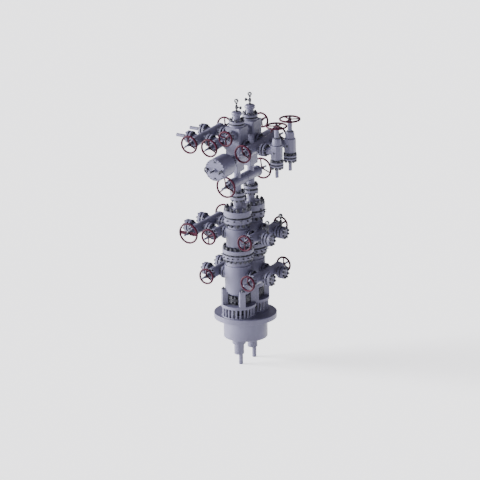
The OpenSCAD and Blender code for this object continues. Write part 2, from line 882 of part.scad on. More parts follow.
rear() wing_valve_right();  // rear_wing_valve_right
rear() choke();  // rear_choke
rear() swab_wheel();  // rear_swab_wheel
rear() master_wheel();  // rear_master_wheel
rear() wing_wheel_inner();  // rear_wing_wheel_inner
rear() wing_wheel_outer();  // rear_wing_wheel_outer
rear() wing_wheel_right();  // rear_wing_wheel_right
rear() choke_wheel();  // rear_choke_wheel
rear() annulus_wheel_inner();  // rear_annulus_wheel_inner
rear() annulus_wheel_outer();  // rear_annulus_wheel_outer
rear() annulus_wheel_right();  // rear_annulus_wheel_right
rear() casing_wheel_left();  // rear_casing_wheel_left
rear() casing_wheel_right();  // rear_casing_wheel_right
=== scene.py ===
"""Looks of the twin gas wellhead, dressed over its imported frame."""
from collections import namedtuple
from math import cos, pi, radians, sin, sqrt

import bpy
import numpy as np
from mathutils import Matrix, Vector


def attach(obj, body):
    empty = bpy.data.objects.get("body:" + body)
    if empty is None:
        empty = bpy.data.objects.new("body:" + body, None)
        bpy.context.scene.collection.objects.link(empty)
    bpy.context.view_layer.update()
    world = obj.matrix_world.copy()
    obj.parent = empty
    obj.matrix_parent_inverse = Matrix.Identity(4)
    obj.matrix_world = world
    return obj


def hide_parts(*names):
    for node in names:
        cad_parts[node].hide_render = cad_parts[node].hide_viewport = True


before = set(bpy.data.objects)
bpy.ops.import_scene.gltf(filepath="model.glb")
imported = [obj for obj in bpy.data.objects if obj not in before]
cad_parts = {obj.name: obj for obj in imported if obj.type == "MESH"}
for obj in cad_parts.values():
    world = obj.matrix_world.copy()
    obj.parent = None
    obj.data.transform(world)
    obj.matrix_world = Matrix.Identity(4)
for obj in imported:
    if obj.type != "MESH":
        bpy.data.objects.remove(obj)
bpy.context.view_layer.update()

# Sizes are in millimetres, as in the part's drawing
MM = 0.001
ROOT = "stack"
SIDES = ("front", "rear")

# The wells' places, and the gaps between the faces of mated flanges
WELL_SPACING, TWIN_GAP = 540, 14
SIDE_LIMIT = (WELL_SPACING - TWIN_GAP) / 2
HEAD_GAP, FACE_GAP = 24, 12

# Base plate, conductor and the pipes below it
BASE_D, BASE_T, PAD_D, PAD_T = 1310, 110, 712, 20
CONDUCTOR_D, CONDUCTOR_LEN, CONDUCTOR_SEAT, CONDUCTOR_FIT = 914, 421, 20, 1
CASING_D, LINER_D, TUBING_D, PIPE_WALL, TUBING_OFFSET = 285, 206, 89, 11, 40
CASING_STUB, LINER_STUB, TUBING_STUB = 91, 319, 543

# Jack posts and support cage
JACK_COUNT, JACK_D, JACK_H = 24, 44, 185
CAGE_D, CAGE_RING_T, CAGE_BORE = 728, 61, 330
CAGE_POST_H, CAGE_POST_W, CAGE_FIT, CAGE_LEDGE_D = 332, 118, 3, 500
CAGE_POST_ANGLES = (45, 135, 225, 315)

# Riser, casing head, tubing head and adapter
NECK_D, COLLAR_D, COLLAR_T, NECK_H = 340, 470, 62, 275
CASING_FOOT_D, CASING_FOOT_H = 490, 56
CASING_HEAD_D, CASING_HEAD_H = 566, 575
BIG_FLANGE_D, CASING_FLANGE_T, CASING_HUB_D, CASING_TOP_H = 657, 94, 510, 245
TUBING_FLANGE_T, TUBING_HEAD_D, TUBING_HEAD_H = 90, 500, 443
HEAD_FLANGE_D, HEAD_FLANGE_T, TUBING_HUB_D, TUBING_TOP_H = 585, 114, 425, 242
ADAPTER_T, ADAPTER_NECK_D, ADAPTER_NECK_H = 129, 170, 229
ADAPTER_FOOT_D, ADAPTER_FOOT_H = 260, 50
TREE_FLANGE_D, TREE_FLANGE_T = 316, 62

# Lower master valve, tree block and cap
MASTER_H, MASTER_NECK_D, MASTER_TOP_D = 454, 170, 140
BLOCK_W, BLOCK_H, BLOCK_CHAMFER, BLOCK_PAD_H = 356, 981, 20, 50
BLOCK_FOOT_X, BLOCK_FOOT_Y, BLOCK_FOOT_H = 180, 300, 346
UPPER_MASTER_Z, WING_Z, SWAB_Z = 270, 562, 827
CAP_FLANGE_D, CAP_FLANGE_T, CAP_NECK_D, CAP_NECK_H = 329, 58, 164, 116
CAP_NUT_D, CAP_NUT_H = 216, 78

# Gate valves with their stems
VALVE_LENGTH, VALVE_D, VALVE_FRONT = 473, 216, 238
END_FLANGE_D, END_FLANGE_T, VALVE_NECK_D, RING_D = 267, 48, 160, 176
BONNET_FLANGE_D, BONNET_FLANGE_T, BONNET_D, BONNET_LEN, HOUSING_D = 236, 40, 116, 74, 66
GUARD_D, GUARD_LEN, GUARD_NUT_T = 44, 150, 20
STEM_D, STEM_END = 34, 24

# Handwheels; the photo's rims are thicker than the solids' by RIM_EXTRA each way
WHEEL_REACH, RIM_D, RIM_EXTRA, SPOKE_D, SPOKE_COUNT = 458, 28, 7, 22, 3
HUB_D, HUB_LEN, HUB_FIT = 70, 46, 0.3
BLADE_W, BLADE_T = 74, 12

# Outlets of the heads and the lines of valves on them
CASING_OUTLET_Z, CASING_VALVE_X = 349, 500
ANNULUS_OUTLET_Z, ANNULUS_VALVE_X = 287, 436
BOSS_D, BOSS_PROUD, BLIND_T, PLUG_D, PLUG_LEN, SPOOL_T = 267, 14, 66, 74, 16, 62
WING_LEFT_X, WING_RIGHT_X, COMPANION_NECK = 395, 416, 46
FLOW_PIPE_D, FLOW_PIPE_LEN, FLOW_PIPE_WALL, PIPE_MOUTH = 73, 232, 9, 30

# Choke
CHOKE_REACH, CHOKE_W, CHOKE_UP, CHOKE_DOWN = 300, 234, 150, 150
CHOKE_COLLAR_D, CHOKE_COLLAR_H, CHOKE_HOUSING_D, CHOKE_HOUSING_H = 204, 150, 96, 240
OUTLET_FLANGE_D, OUTLET_NECK_H, OUTLET_CONE_H, OUTLET_PIPE_LEN = 285, 56, 44, 240

# Actuator of the upper master valve
ACTUATOR_D, ACTUATOR_LEN, ACTUATOR_Y, ACTUATOR_NECK_D = 478, 460, 427, 170
ACTUATOR_COVER_D, ACTUATOR_COVER_T, COVER_SCREWS = 466, 14, 20
ACTUATOR_BOSS_D, ACTUATOR_BOSS_LEN, ACTUATOR_ROD_D, ACTUATOR_ROD_LEN = 80, 30, 38, 185

# Gauges and their needle valves
GAUGE_D, GAUGE_T, GAUGE_RISE, GAUGE_PIPE_D, TICKS = 92, 42, 230, 26, 28
NEEDLE_W, NEEDLE_Z, NEEDLE_REACH, NEEDLE_HANDLE, NEEDLE_HANDLE_D = 50, 92, 96, 62, 26

# The step at each flange's mating edge
LIP_DEPTH, LIP_WIDTH = 13, 9

# Studs of a joint: how many, the circle's radius, the first one's angle, the nut's width and height, the stud
Bolts = namedtuple("Bolts", "count circle start nut height stud")
VALVE_BOLTS = Bolts(8, 104, 22.5, 46, 28, 29)
BONNET_BOLTS = Bolts(8, BONNET_FLANGE_D / 2 - 23, 22.5, 34, 24, 20)
ACTUATOR_BOLTS = Bolts(8, BONNET_FLANGE_D / 2 - 25, 22.5, 40, 30, 24)
COLLAR_BOLTS = Bolts(16, COLLAR_D / 2 - 32, 11.25, 60, 46, 34)
CASING_BOLTS = Bolts(18, BIG_FLANGE_D / 2 - 37.5, 10, 62, 56, 40)
TUBING_BOLTS = Bolts(12, HEAD_FLANGE_D / 2 - 42, 0, 66, 60, 42)
TREE_BOLTS = Bolts(8, TREE_FLANGE_D / 2 - 29, 22.5, 50, 36, 32)
CAP_BOLTS = Bolts(8, CAP_FLANGE_D / 2 - 29, 22.5, 50, 36, 32)
OUTLET_BOLTS = Bolts(8, 110, 22.5, 58, 44, 29)

# Stems beyond the first valves, and the choke
ANNULUS_OUTER_X = ANNULUS_VALVE_X + VALVE_LENGTH + FACE_GAP
WING_OUTER_X = WING_LEFT_X + VALVE_LENGTH + FACE_GAP
CHOKE_X = WING_RIGHT_X + (VALVE_LENGTH + FACE_GAP) / 2 + CHOKE_REACH

# Heights of the joints, from the foot up
jack_z = BASE_T + PAD_T
cage_z = jack_z + JACK_H
neck_z = cage_z + CAGE_RING_T
collar_z = neck_z + NECK_H * 0.4
collar_top_z = collar_z + COLLAR_T / 2
casing_body_z = neck_z + NECK_H
casing_top_z = casing_body_z + CASING_HEAD_H
tubing_flange_z = casing_top_z + CASING_TOP_H + HEAD_GAP
tubing_body_z = tubing_flange_z + TUBING_FLANGE_T
tubing_top_z = tubing_body_z + TUBING_HEAD_H
adapter_z = tubing_top_z + TUBING_TOP_H + HEAD_GAP
adapter_neck_z = adapter_z + ADAPTER_T
tree_foot_z = adapter_neck_z + ADAPTER_NECK_H + TREE_FLANGE_T + HEAD_GAP
master_z = tree_foot_z + TREE_FLANGE_T
block_z = master_z + MASTER_H
cap_z = block_z + BLOCK_H + BLOCK_PAD_H + FACE_GAP
cap_nut_z = cap_z + CAP_FLANGE_T + CAP_NECK_H
gauge_z = cap_nut_z + CAP_NUT_H
line_z = {
    "casing": casing_body_z + CASING_OUTLET_Z,
    "annulus": tubing_body_z + ANNULUS_OUTLET_Z,
    "master": master_z + MASTER_H / 2,
    "upper_master": block_z + UPPER_MASTER_Z,
    "wing": block_z + WING_Z,
    "swab": block_z + SWAB_Z,
}

# Seal faces that the inner valves sit on, and places along a stem
casing_face = CASING_HEAD_D / 2 + BOSS_PROUD
annulus_face = TUBING_HEAD_D / 2 + BOSS_PROUD
block_face = BLOCK_W / 2
stem_shoulder = WHEEL_REACH - HUB_LEN / 2 - HUB_FIT
guard_start = WHEEL_REACH + HUB_LEN / 2 + HUB_FIT
guard_tip = guard_start + GUARD_LEN
choke_wheel_z = CHOKE_UP + CHOKE_COLLAR_H + CHOKE_HOUSING_H + HUB_FIT + HUB_LEN / 2


# Placing: 4 by 4 matrices, with the shape's own axis along Z

def move(x=0.0, y=0.0, z=0.0):
    m = np.eye(4)
    m[:3, 3] = x, y, z
    return m


def turn(axis, degrees):
    c, s = cos(radians(degrees)), sin(radians(degrees))
    m = np.eye(4)
    i, j = {"x": (1, 2), "y": (2, 0), "z": (0, 1)}[axis]
    m[i, i], m[i, j], m[j, i], m[j, j] = c, -s, s, c
    return m


def mirror(axis):
    m = np.eye(4)
    m["xyz".index(axis), "xyz".index(axis)] = -1
    return m


UP = np.eye(4)
DOWN = turn("x", 180)
RIGHT = turn("y", 90)
FORWARD = turn("x", 90)
RIGHT_SIDE = UP
LEFT_SIDE = mirror("x")


def line(side, z):
    """The axis of a line of valves, outwards from its head at height z."""
    return side @ move(z=z) @ RIGHT


# Shapes

TINY = 1e-6
CORNER_STEPS = 3
NEARLY_STRAIGHT = -0.985
MOST_OF_EDGE = 0.45


class Shape:
    """Points and faces of one piece, in the front well's own frame."""

    def __init__(self):
        self.points, self.faces, self.count = [], [], 0

    def add(self, points, faces, place=UP):
        points = np.asarray(points, float) @ place[:3, :3].T + place[:3, 3]
        flipped = np.linalg.det(place[:3, :3]) < 0
        for face in faces:
            face = face[::-1] if flipped else face
            self.faces.append([i + self.count for i in face])
        self.points.append(points)
        self.count += len(points)

    def placed(self, place):
        """A copy of the whole shape somewhere else."""
        other = Shape()
        other.add(np.concatenate(self.points), self.faces, place)
        return other


def soften(profile, closed=False):
    """Rounds each corner of a profile that has a third number, its radius."""
    out = []
    n = len(profile)
    for i, (x, y, *radius) in enumerate(profile):
        p = np.array((x, y), float)
        a = np.array(profile[i - 1][:2], float) - p
        b = np.array(profile[(i + 1) % n][:2], float) - p
        la, lb = np.linalg.norm(a), np.linalg.norm(b)
        at_end = not closed and i in (0, n - 1)
        if at_end or not any(radius) or min(la, lb) < TINY or (a / la) @ (b / lb) < NEARLY_STRAIGHT:
            out.append(tuple(p))
            continue
        a, b = a / la, b / lb
        cut = min(radius[0], MOST_OF_EDGE * la, MOST_OF_EDGE * lb)
        start, end = p + a * cut, p + b * cut
        for k in range(CORNER_STEPS + 1):
            t = k / CORNER_STEPS
            out.append(tuple((1 - t) ** 2 * start + 2 * t * (1 - t) * p + t * t * end))
    return out


def band(low, high):
    """Faces between two rings of points, either of which may be a single point on the axis."""
    n = max(len(low), len(high))
    if n == 1:
        return []
    turned = [(j, (j + 1) % n) for j in range(n)]
    if len(low) == 1:
        return [[low[0], high[k], high[j]] for j, k in turned]
    if len(high) == 1:
        return [[low[j], low[k], high[0]] for j, k in turned]
    return [[low[j], low[k], high[k], high[j]] for j, k in turned]


def to_axis(profile):
    """Closes the ends of a profile flat, where they stop short of the axis."""
    start = [(profile[0][0], 0)] if profile[0][1] else []
    end = [(profile[-1][0], 0)] if profile[-1][1] else []
    return start + profile + end


def lathe(shape, place, profile, segments=48, closed=False, limit=None):
    """Turns a profile of (height, radius) about the axis; limit cuts the shape flat at y = limit.

    A closed profile makes a ring; any other is a solid, with flat ends down to the axis.
    """
    profile = soften(profile, True) if closed else soften(to_axis(profile))
    angles = np.arange(segments) * 2 * pi / segments
    circle = np.stack([np.cos(angles), np.sin(angles)], 1)
    points, rings = [], []
    for z, r in profile:
        if r < TINY:
            rings.append([len(points)])
            points.append((0, 0, z))
            continue
        rings.append(list(range(len(points), len(points) + segments)))
        points.extend((r * c, min(r * s, limit) if limit else r * s, z) for c, s in circle)
    pairs = list(zip(rings, rings[1:])) + ([(rings[-1], rings[0])] if closed else [])
    shape.add(points, [face for low, high in pairs for face in band(low, high)], place)


def loft(shape, place, rings):
    """Joins closed rings of equal length and closes both ends."""
    n = len(rings[0])
    rows = [list(range(i * n, i * n + n)) for i in range(len(rings))]
    faces = [face for low, high in zip(rows, rows[1:]) for face in band(low, high)]
    shape.add([p for ring in rings for p in ring], faces + [rows[0][::-1], rows[-1]], place)


def outline_prism(shape, place, corners, radius, z0, z1, bevel):
    """A prism with rounded corners, whose outline shrinks a little at both ends, for its bevels."""
    outline = np.array(soften([(x, y, radius) for x, y in corners], closed=True), float)
    before, after = np.roll(outline, 1, 0), np.roll(outline, -1, 0)
    a, b = (edge / np.linalg.norm(edge, axis=1)[:, None] for edge in (outline - before, after - outline))
    na, nb = (np.stack([edge[:, 1], -edge[:, 0]], 1) for edge in (a, b))
    normal = (na + nb) / (1 + (na * nb).sum(1))[:, None]
    small = bevel * 0.3
    low_end = [(z0, bevel), (z0 + small, small), (z0 + bevel, 0)]
    high_end = [(z1 - bevel, 0), (z1 - small, small), (z1, bevel)]
    loft(shape, place, [
        [(x, y, z) for x, y in outline - normal * inset] for z, inset in low_end + high_end
    ])


def rectangle(x, y):
    """Corners of a rectangle about the middle, from half its sides."""
    return [(-x, -y), (x, -y), (x, y), (-x, y)]


def block(shape, place, size, bevel):
    """A box about its own middle, with bevels."""
    x, y, z = (s / 2 for s in size)
    outline_prism(shape, place, rectangle(x, y), bevel, -z, z, bevel)


def torus(shape, place, radius, thickness, around, sides):
    """A ring about the axis."""
    points, faces = [], []
    for i in range(around):
        a = radians(360.0 * i / around)
        k = (i + 1) % around
        for j in range(sides):
            b = 2 * pi * j / sides
            m = (j + 1) % sides
            r = radius + thickness * cos(b)
            points.append((r * cos(a), r * sin(a), thickness * sin(b)))
            faces.append([i * sides + j, k * sides + j, k * sides + m, i * sides + m])
    shape.add(points, faces, place)


# Fasteners and flange edges

def hex_nut(shape, place, across, height, z=0):
    """A hexagon nut that stands at height z, with its chamfered end up."""
    corner = across / 2 / cos(pi / 6)
    angles = [pi / 6 + i * pi / 3 for i in range(6)]
    foot = [(0, corner * 0.985), (height * 0.04, corner)]
    top = [(height * 0.88, corner), (height, corner * 0.88)]
    rings = [[(r * cos(a), r * sin(a), level) for a in angles] for level, r in foot + top]
    loft(shape, place @ move(z=z), rings)


def stud(shape, place, z0, z1, d):
    """A stud from z0 to z1 with chamfered ends."""
    r, c = d / 2, d * 0.1
    lathe(shape, place, [(z0, r - c), (z0 + c, r), (z1 - c, r), (z1, r - c)], 12)


def spots(place, count, radius, start=0.0, reach=None):
    """Places evenly round a circle; with a reach, without those past the flat side of the stack."""
    for i in range(count):
        angle = start + i * 360.0 / count
        if not reach or radius * sin(radians(angle)) + reach <= SIDE_LIMIT:
            yield place @ turn("z", angle) @ move(radius)


def bolt_ring(shape, place, bolts, low, high, low_nut=True, reach=None):
    """Studs with nuts through two flanges whose backs are at z = low and z = high."""
    end = bolts.stud * 0.4
    foot = low - bolts.height - end if low_nut else low
    for spot in spots(place, bolts.count, bolts.circle, bolts.start, reach):
        stud(shape, spot, foot, high + bolts.height + end, bolts.stud)
        if low_nut:
            hex_nut(shape, spot @ move(z=low) @ DOWN, bolts.nut, bolts.height)
        hex_nut(shape, spot, bolts.nut, bolts.height, high)


def lip(face, d, way=1):
    """The step at a flange's mating edge; way is 1 for a flange above its face and -1 for one below."""
    inner, step = d / 2 - LIP_DEPTH, face + LIP_WIDTH * way
    return [(face, inner, 1), (step, inner, 1), (step, d / 2, 3)][::way]


def seal(face, d=END_FLANGE_D, ring=RING_D, gap=FACE_GAP, root=1):
    """From the foot of the seal ring, a gap below the face, to the mating edge of the flange above it."""
    return [(face - gap, ring / 2, 1), (face, ring / 2, root), *lip(face, d)]


def shade_gap_ring(steel, place, low, d=END_FLANGE_D, gap=FACE_GAP):
    """A ring of dark steel in the gap between two mating flanges, put there as painted shade in the gap."""
    high = low + gap
    start, end = low - LIP_WIDTH + 1, high + LIP_WIDTH - 1
    outer = d / 2 - LIP_DEPTH + 0.5
    deep, inner = outer - 20, outer - 40
    lathe(steel, place, [
        (start, inner), (start, outer), (low, outer), (low, deep),
        (high, deep), (high, outer), (end, outer), (end, inner),
    ], 64, closed=True, limit=SIDE_LIMIT - 1)


# Materials

class Finish:
    """A material with short ways to make its nodes."""

    def __init__(self, name):
        self.material = bpy.data.materials.new(name)
        self.material.use_nodes = True
        self.nodes = self.material.node_tree.nodes
        self.shader = self.nodes["Principled BSDF"]

    def feed(self, socket, value):
        """Links a node's output to a socket, or sets a plain value on it."""
        if isinstance(value, bpy.types.NodeSocket):
            self.material.node_tree.links.new(value, socket)
        else:
            socket.default_value = value

    def set(self, name, value):
        self.feed(self.shader.inputs[name], value)

    def node(self, kind, output, data_type=None, **inputs):
        """Makes a node with the named inputs, and gives one output of it."""
        node = self.nodes.new("ShaderNode" + kind)
        if data_type:
            node.data_type = data_type
        for name, value in inputs.items():
            self.feed(node.inputs[name.replace("_", " ")], value)
        return node.outputs[output]

    def noise(self, scale, detail, stretch=None):
        source = self.node("TexCoord", "Object")
        if stretch:
            source = self.node("Mapping", "Vector", Vector=source, Scale=stretch)
        return self.node("TexNoise", "Fac", Vector=source, Scale=scale, Detail=detail)

    def spread(self, value, low, high, a=0.0, b=1.0):
        """Maps low to a and high to b."""
        return self.node("MapRange", "Result", Value=value, From_Min=low, From_Max=high, To_Min=a, To_Max=b)

    def mix(self, factor, a, b):
        return self.node("Mix", "Result", "RGBA", Factor=factor, A=a, B=b)

    def worn_edges(self, amount):
        """Patches along the edges, at most as strong as amount."""
        both = self.nodes.new("ShaderNodeMath")
        both.operation = "MULTIPLY"
        edge = self.node("NewGeometry", "Pointiness")
        self.feed(both.inputs[0], self.spread(edge, 0.52, 0.60))
        self.feed(both.inputs[1], self.spread(self.noise(24.0, 6.0), 0.46, 0.62, 0.0, amount))
        return both.outputs["Value"]


def weathered(name, base, deep, rough, metal=0.0, gloss=0.3, speckle=260.0, bump=0.05,
              wear=None, wear_amount=0.5, streak=0.0):
    """A finish with two tones, faint runs, fine grain and worn edges."""
    finish = Finish(name)
    finish.set("Metallic", metal)
    finish.set("Specular IOR Level", gloss)
    colour = finish.mix(finish.spread(finish.noise(3.2, 5.0), 0.3, 0.72), (*base, 1), (*deep, 1))
    if streak:
        run = finish.spread(finish.noise(14.0, 5.0, (1.0, 1.0, 0.09)), 0.52, 0.78, 0.0, streak)
        colour = finish.mix(run, colour, (*(c * 0.62 for c in deep), 1))
    grain = finish.noise(speckle, 3.0)
    colour = finish.mix(finish.spread(grain, 0.35, 0.7, 0.0, 0.35), colour, (*deep, 1))
    if wear:
        colour = finish.mix(finish.worn_edges(wear_amount), colour, (*wear, 1))
    finish.set("Base Color", colour)
    finish.set("Roughness", finish.spread(finish.noise(38.0, 5.0), 0.3, 0.75, rough - 0.07, rough + 0.1))
    finish.set("Normal", finish.node("Bump", "Normal", Strength=bump, Distance=0.002, Height=grain))
    return finish.material


def body_paint():
    return weathered("lilac_grey_paint", (0.112, 0.108, 0.166), (0.082, 0.080, 0.126), 0.40,
                     wear=(0.15, 0.15, 0.20), wear_amount=0.35, streak=0.08)


def wheel_paint():
    return weathered("dark_red_paint", (0.034, 0.0015, 0.012), (0.022, 0.001, 0.008), 0.5, gloss=0.12,
                     wear=(0.05, 0.006, 0.02), wear_amount=0.15)


def dark_steel():
    return weathered("blackened_steel", (0.028, 0.029, 0.041), (0.012, 0.012, 0.018), 0.42, metal=0.2,
                     speckle=420.0, bump=0.06, wear=(0.10, 0.10, 0.12))


def plated_steel():
    return weathered("plated_steel", (0.028, 0.028, 0.036), (0.016, 0.016, 0.022), 0.40, metal=0.3,
                     speckle=420.0)


def white_dial():
    return weathered("white_dial", (0.80, 0.80, 0.78), (0.72, 0.72, 0.70), 0.5)


def clear_glass():
    finish = Finish("gauge_glass")
    finish.set("Base Color", (0.92, 0.94, 0.95, 1))
    finish.set("Transmission Weight", 1.0)
    finish.set("IOR", 1.1)
    haze = finish.node("TexNoise", "Fac", Scale=60.0)
    finish.set("Roughness", finish.spread(haze, 0.0, 1.0, 0.02, 0.08))
    return finish.material


MATERIALS = {
    "body_paint": body_paint(),
    "wheel_paint": wheel_paint(),
    "dark_steel": dark_steel(),
    "plated_steel": plated_steel(),
    "dial": white_dial(),
    "glass": clear_glass(),
}


SHARP_ANGLE = 35.0


def add_object(name, data):
    """Puts a new object with this mesh, light or camera in the scene."""
    made = bpy.data.objects.new(name, data)
    bpy.context.scene.collection.objects.link(made)
    return made


def finish_piece(name, shape, slot, body, side="front", node=None):
    """Makes the object of a shape at its well; the rear well's is the mirror image."""
    points = np.concatenate(shape.points)
    points[:, 1] -= WELL_SPACING / 2
    faces = shape.faces
    if side == "rear":
        points[:, 1] *= -1
        faces = [face[::-1] for face in faces]
    mesh = bpy.data.meshes.new(name)
    mesh.from_pydata((points * MM).tolist(), [], faces)
    mesh.validate()
    mesh.shade_smooth()
    mesh.set_sharp_from_angle(angle=radians(SHARP_ANGLE))
    mesh.materials.append(MATERIALS[slot])
    piece = add_object(name, mesh)
    weighted = piece.modifiers.new("even_normals", "WEIGHTED_NORMAL")
    weighted.keep_sharp = True
    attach(piece, body)
    if node:
        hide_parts(node)


# Gate valves and what joins them

def stem_guard(shape, steel, place):
    """The stem's end in front of its wheel, and the tube that covers it."""
    guard = GUARD_D / 2
    foot, ferrule = guard_start + GUARD_NUT_T, guard_tip - 40
    stud(steel, place, stem_shoulder - 4, foot, STEM_D)
    hex_nut(steel, place, 58, 22, guard_start)
    lathe(shape, place, [
        (foot, guard, 2), (foot + 24, guard, 1), (foot + 26, guard - 2, 1), (ferrule, guard - 2, 1),
    ], 24)
    lathe(shape, place, [(ferrule, guard, 2), (guard_tip - 18, guard, 8), (guard_tip, guard - 10, 8)], 24)


def bonnet(shape, steel, place):
    """Bonnet, gland and stem of a valve, forward from its barrel; place has its axis along the stem."""
    z = VALVE_FRONT
    shoulder = z + BONNET_FLANGE_T
    top = shoulder + BONNET_LEN
    rim, body, housing = BONNET_FLANGE_D / 2, BONNET_D / 2, HOUSING_D / 2
    gland, collar = stem_shoulder - 26, stem_shoulder - 8
    lathe(shape, place, [(z, rim - 9, 1), (z + 7, rim - 9, 1), (z + 7, rim, 5), (shoulder, rim, 7)], 40)
    lathe(shape, place, [
        (shoulder - 2, body + 6, 1), (shoulder + 6, body + 6, 3), (shoulder + 10, body, 8),
        (top - 12, body, 4), (top, body - 12, 3),
    ], 40)
    lathe(shape, place, [
        (top - 4, housing, 1), (gland, housing, 2), (gland, housing + 5, 2),
        (collar, housing + 5, 3), (collar, STEM_D / 2 + 5, 3), (stem_shoulder, STEM_D / 2 + 5, 3),
    ], 40)
    bolt_ring(steel, place, BONNET_BOLTS, z, shoulder, low_nut=False)
    stem_guard(shape, steel, place)
    hex_nut(steel, place, 82, 16, top - 1)
    grease_fitting = place @ move(z=top - 36) @ turn("z", 45) @ move(body - 2) @ RIGHT
    hex_nut(steel, grease_fitting, 20, 12)
    stud(steel, grease_fitting, 0, 24, 11)


def stem_body(shape, steel, stem):
    """The long round body about a stem, from the plane between the stacks, with its bonnet."""
    r = VALVE_D / 2
    lathe(shape, stem, [
        (-SIDE_LIMIT, r, 6), (VALVE_FRONT - 34, r, 3), (VALVE_FRONT - 30, r + 6, 4),
        (VALVE_FRONT, r + 6, 4),
    ], 56)
    bonnet(shape, steel, stem)


def gate_valve(shape, steel, side, x, x_in, z):
    """A gate valve with its stem at x, from the seal face x_in outwards."""
    flow = line(side, z)
    face, far = x_in + FACE_GAP, x + VALVE_LENGTH / 2
    near_back, far_back = face + END_FLANGE_T, far - END_FLANGE_T
    rim, neck = END_FLANGE_D / 2, VALVE_NECK_D / 2
    lathe(shape, flow, [
        *seal(face), (near_back, rim, 6), (near_back, neck + 12, 9),
        (min(near_back + 24, x - 60), neck, 12), (x, neck, 2), (far_back - 24, neck, 12),
        (far_back, neck + 12, 9), (far_back, rim, 6), *lip(far, END_FLANGE_D, -1),
    ])
    shade_gap_ring(steel, flow, x_in)
    stem_body(shape, steel, side @ move(x, 0, z) @ FORWARD)


def blind_flange(shape, steel, flow, x):
    """A blind flange with its plug, bolted to a flange face at x."""
    face = x + FACE_GAP
    end = face + BLIND_T
    plug, plug_end = PLUG_D / 2, end + PLUG_LEN * 0.5
    lathe(shape, flow, [
        *seal(face), (end, END_FLANGE_D / 2, 6), (end, plug + 26, 2),
        (end - 3, plug + 22, 2), (end - 3, plug, 2), (plug_end, plug, 4),
    ])
    shade_gap_ring(steel, flow, x)
    hex_nut(steel, flow, 36, PLUG_LEN * 0.5, plug_end - 1)


def flow_stub(shape, steel, flow, x):
    """A companion flange with its flow pipe, bolted to a flange face at x."""
    face = x + FACE_GAP
    neck = face + END_FLANGE_T
    pipe = neck + COMPANION_NECK
    end = pipe + FLOW_PIPE_LEN
    r = FLOW_PIPE_D / 2
    bore = r - FLOW_PIPE_WALL
    lathe(shape, flow, [
        *seal(face), (neck, END_FLANGE_D / 2, 6), (neck, VALVE_NECK_D / 2 - 12, 8),
        (pipe - 8, r + 3, 10), (pipe, r + 3, 2), (pipe + 6, r, 3), (end - 4, r, 2), (end, r - 3, 1),
        (end, bore, 1), (end - PIPE_MOUTH, bore, 4),
    ], 40)
    shade_gap_ring(steel, flow, x)


def spool_end(shape, steel, flow, x):
    """A short spool bolted to a flange face at x, and a blind flange on it."""
    face = x + FACE_GAP
    end = face + SPOOL_T
    lathe(shape, flow, [*seal(face), *lip(end, END_FLANGE_D, -1)])
    shade_gap_ring(steel, flow, x)
    blind_flange(shape, steel, flow, end)


def valve_line(shape, steel, side, row, first_face, stems, end=None, beyond=END_FLANGE_T):
    """Gate valves outwards from a seal face, what ends the line, and the studs of the joints."""
    flow = line(side, line_z[row])
    faces = [first_face] + [x + VALVE_LENGTH / 2 for x in stems]
    for x, face in zip(stems, faces):
        gate_valve(shape, steel, side, x, face, line_z[row])
    if end:
        end(shape, steel, flow, faces[-1])
    bolt_ring(steel, flow, VALVE_BOLTS, first_face, first_face + FACE_GAP + END_FLANGE_T, low_nut=False)
    for face in faces[1:]:
        thickness = beyond if face == faces[-1] else END_FLANGE_T
        bolt_ring(steel, flow, VALVE_BOLTS, face - END_FLANGE_T, face + FACE_GAP + thickness)


# Gauges

def needle_valve(plated, steel, place):
    """A needle valve on z = 0 with its small handwheel towards +X, and the pipe up to the gauge."""
    socket_z = GAUGE_RISE - GAUGE_D / 2
    pipe, slim, half = GAUGE_PIPE_D / 2, GAUGE_PIPE_D / 3, NEEDLE_W / 2
    low, high = NEEDLE_Z - half, NEEDLE_Z + half
    lathe(plated, place, [(0, pipe, 1), (low, pipe, 1), (NEEDLE_Z, 0)], 24)
    hex_nut(plated, place, 52, 28)
    hex_nut(plated, place, 44, 22, low - 20)
    block(plated, place @ move(z=NEEDLE_Z), (NEEDLE_W, NEEDLE_W * 0.84, NEEDLE_W), 4)
    lathe(plated, place, [(NEEDLE_Z, 0), (high, pipe, 1), (socket_z + 6, pipe, 1)], 24)
    hex_nut(plated, place, 44, 22, high - 2)
    hex_nut(plated, place, 42, 26, socket_z - 22)
    arm = place @ move(z=NEEDLE_Z) @ RIGHT
    lathe(plated, arm, [
        (0, 0), (half - 4, 18, 2), (half + 16, 18, 3), (half + 16, 13, 2), (half + 38, 13, 3),
        (half + 38, slim, 2), (NEEDLE_REACH, slim, 1),
    ], 20)
    thick, knob = NEEDLE_HANDLE_D / 2, NEEDLE_HANDLE / 2 + 4
    lathe(steel, arm @ move(z=NEEDLE_REACH), [
        (-thick, 11, 2), (2 - thick, knob - 12, 4), (-thick, knob - 7, 3), (-thick, knob, 5),
        (thick, knob, 5), (thick, knob - 7, 3), (thick - 9, knob - 12, 4), (thick - 6, 12, 2), (thick, 9, 2),
    ], 32)


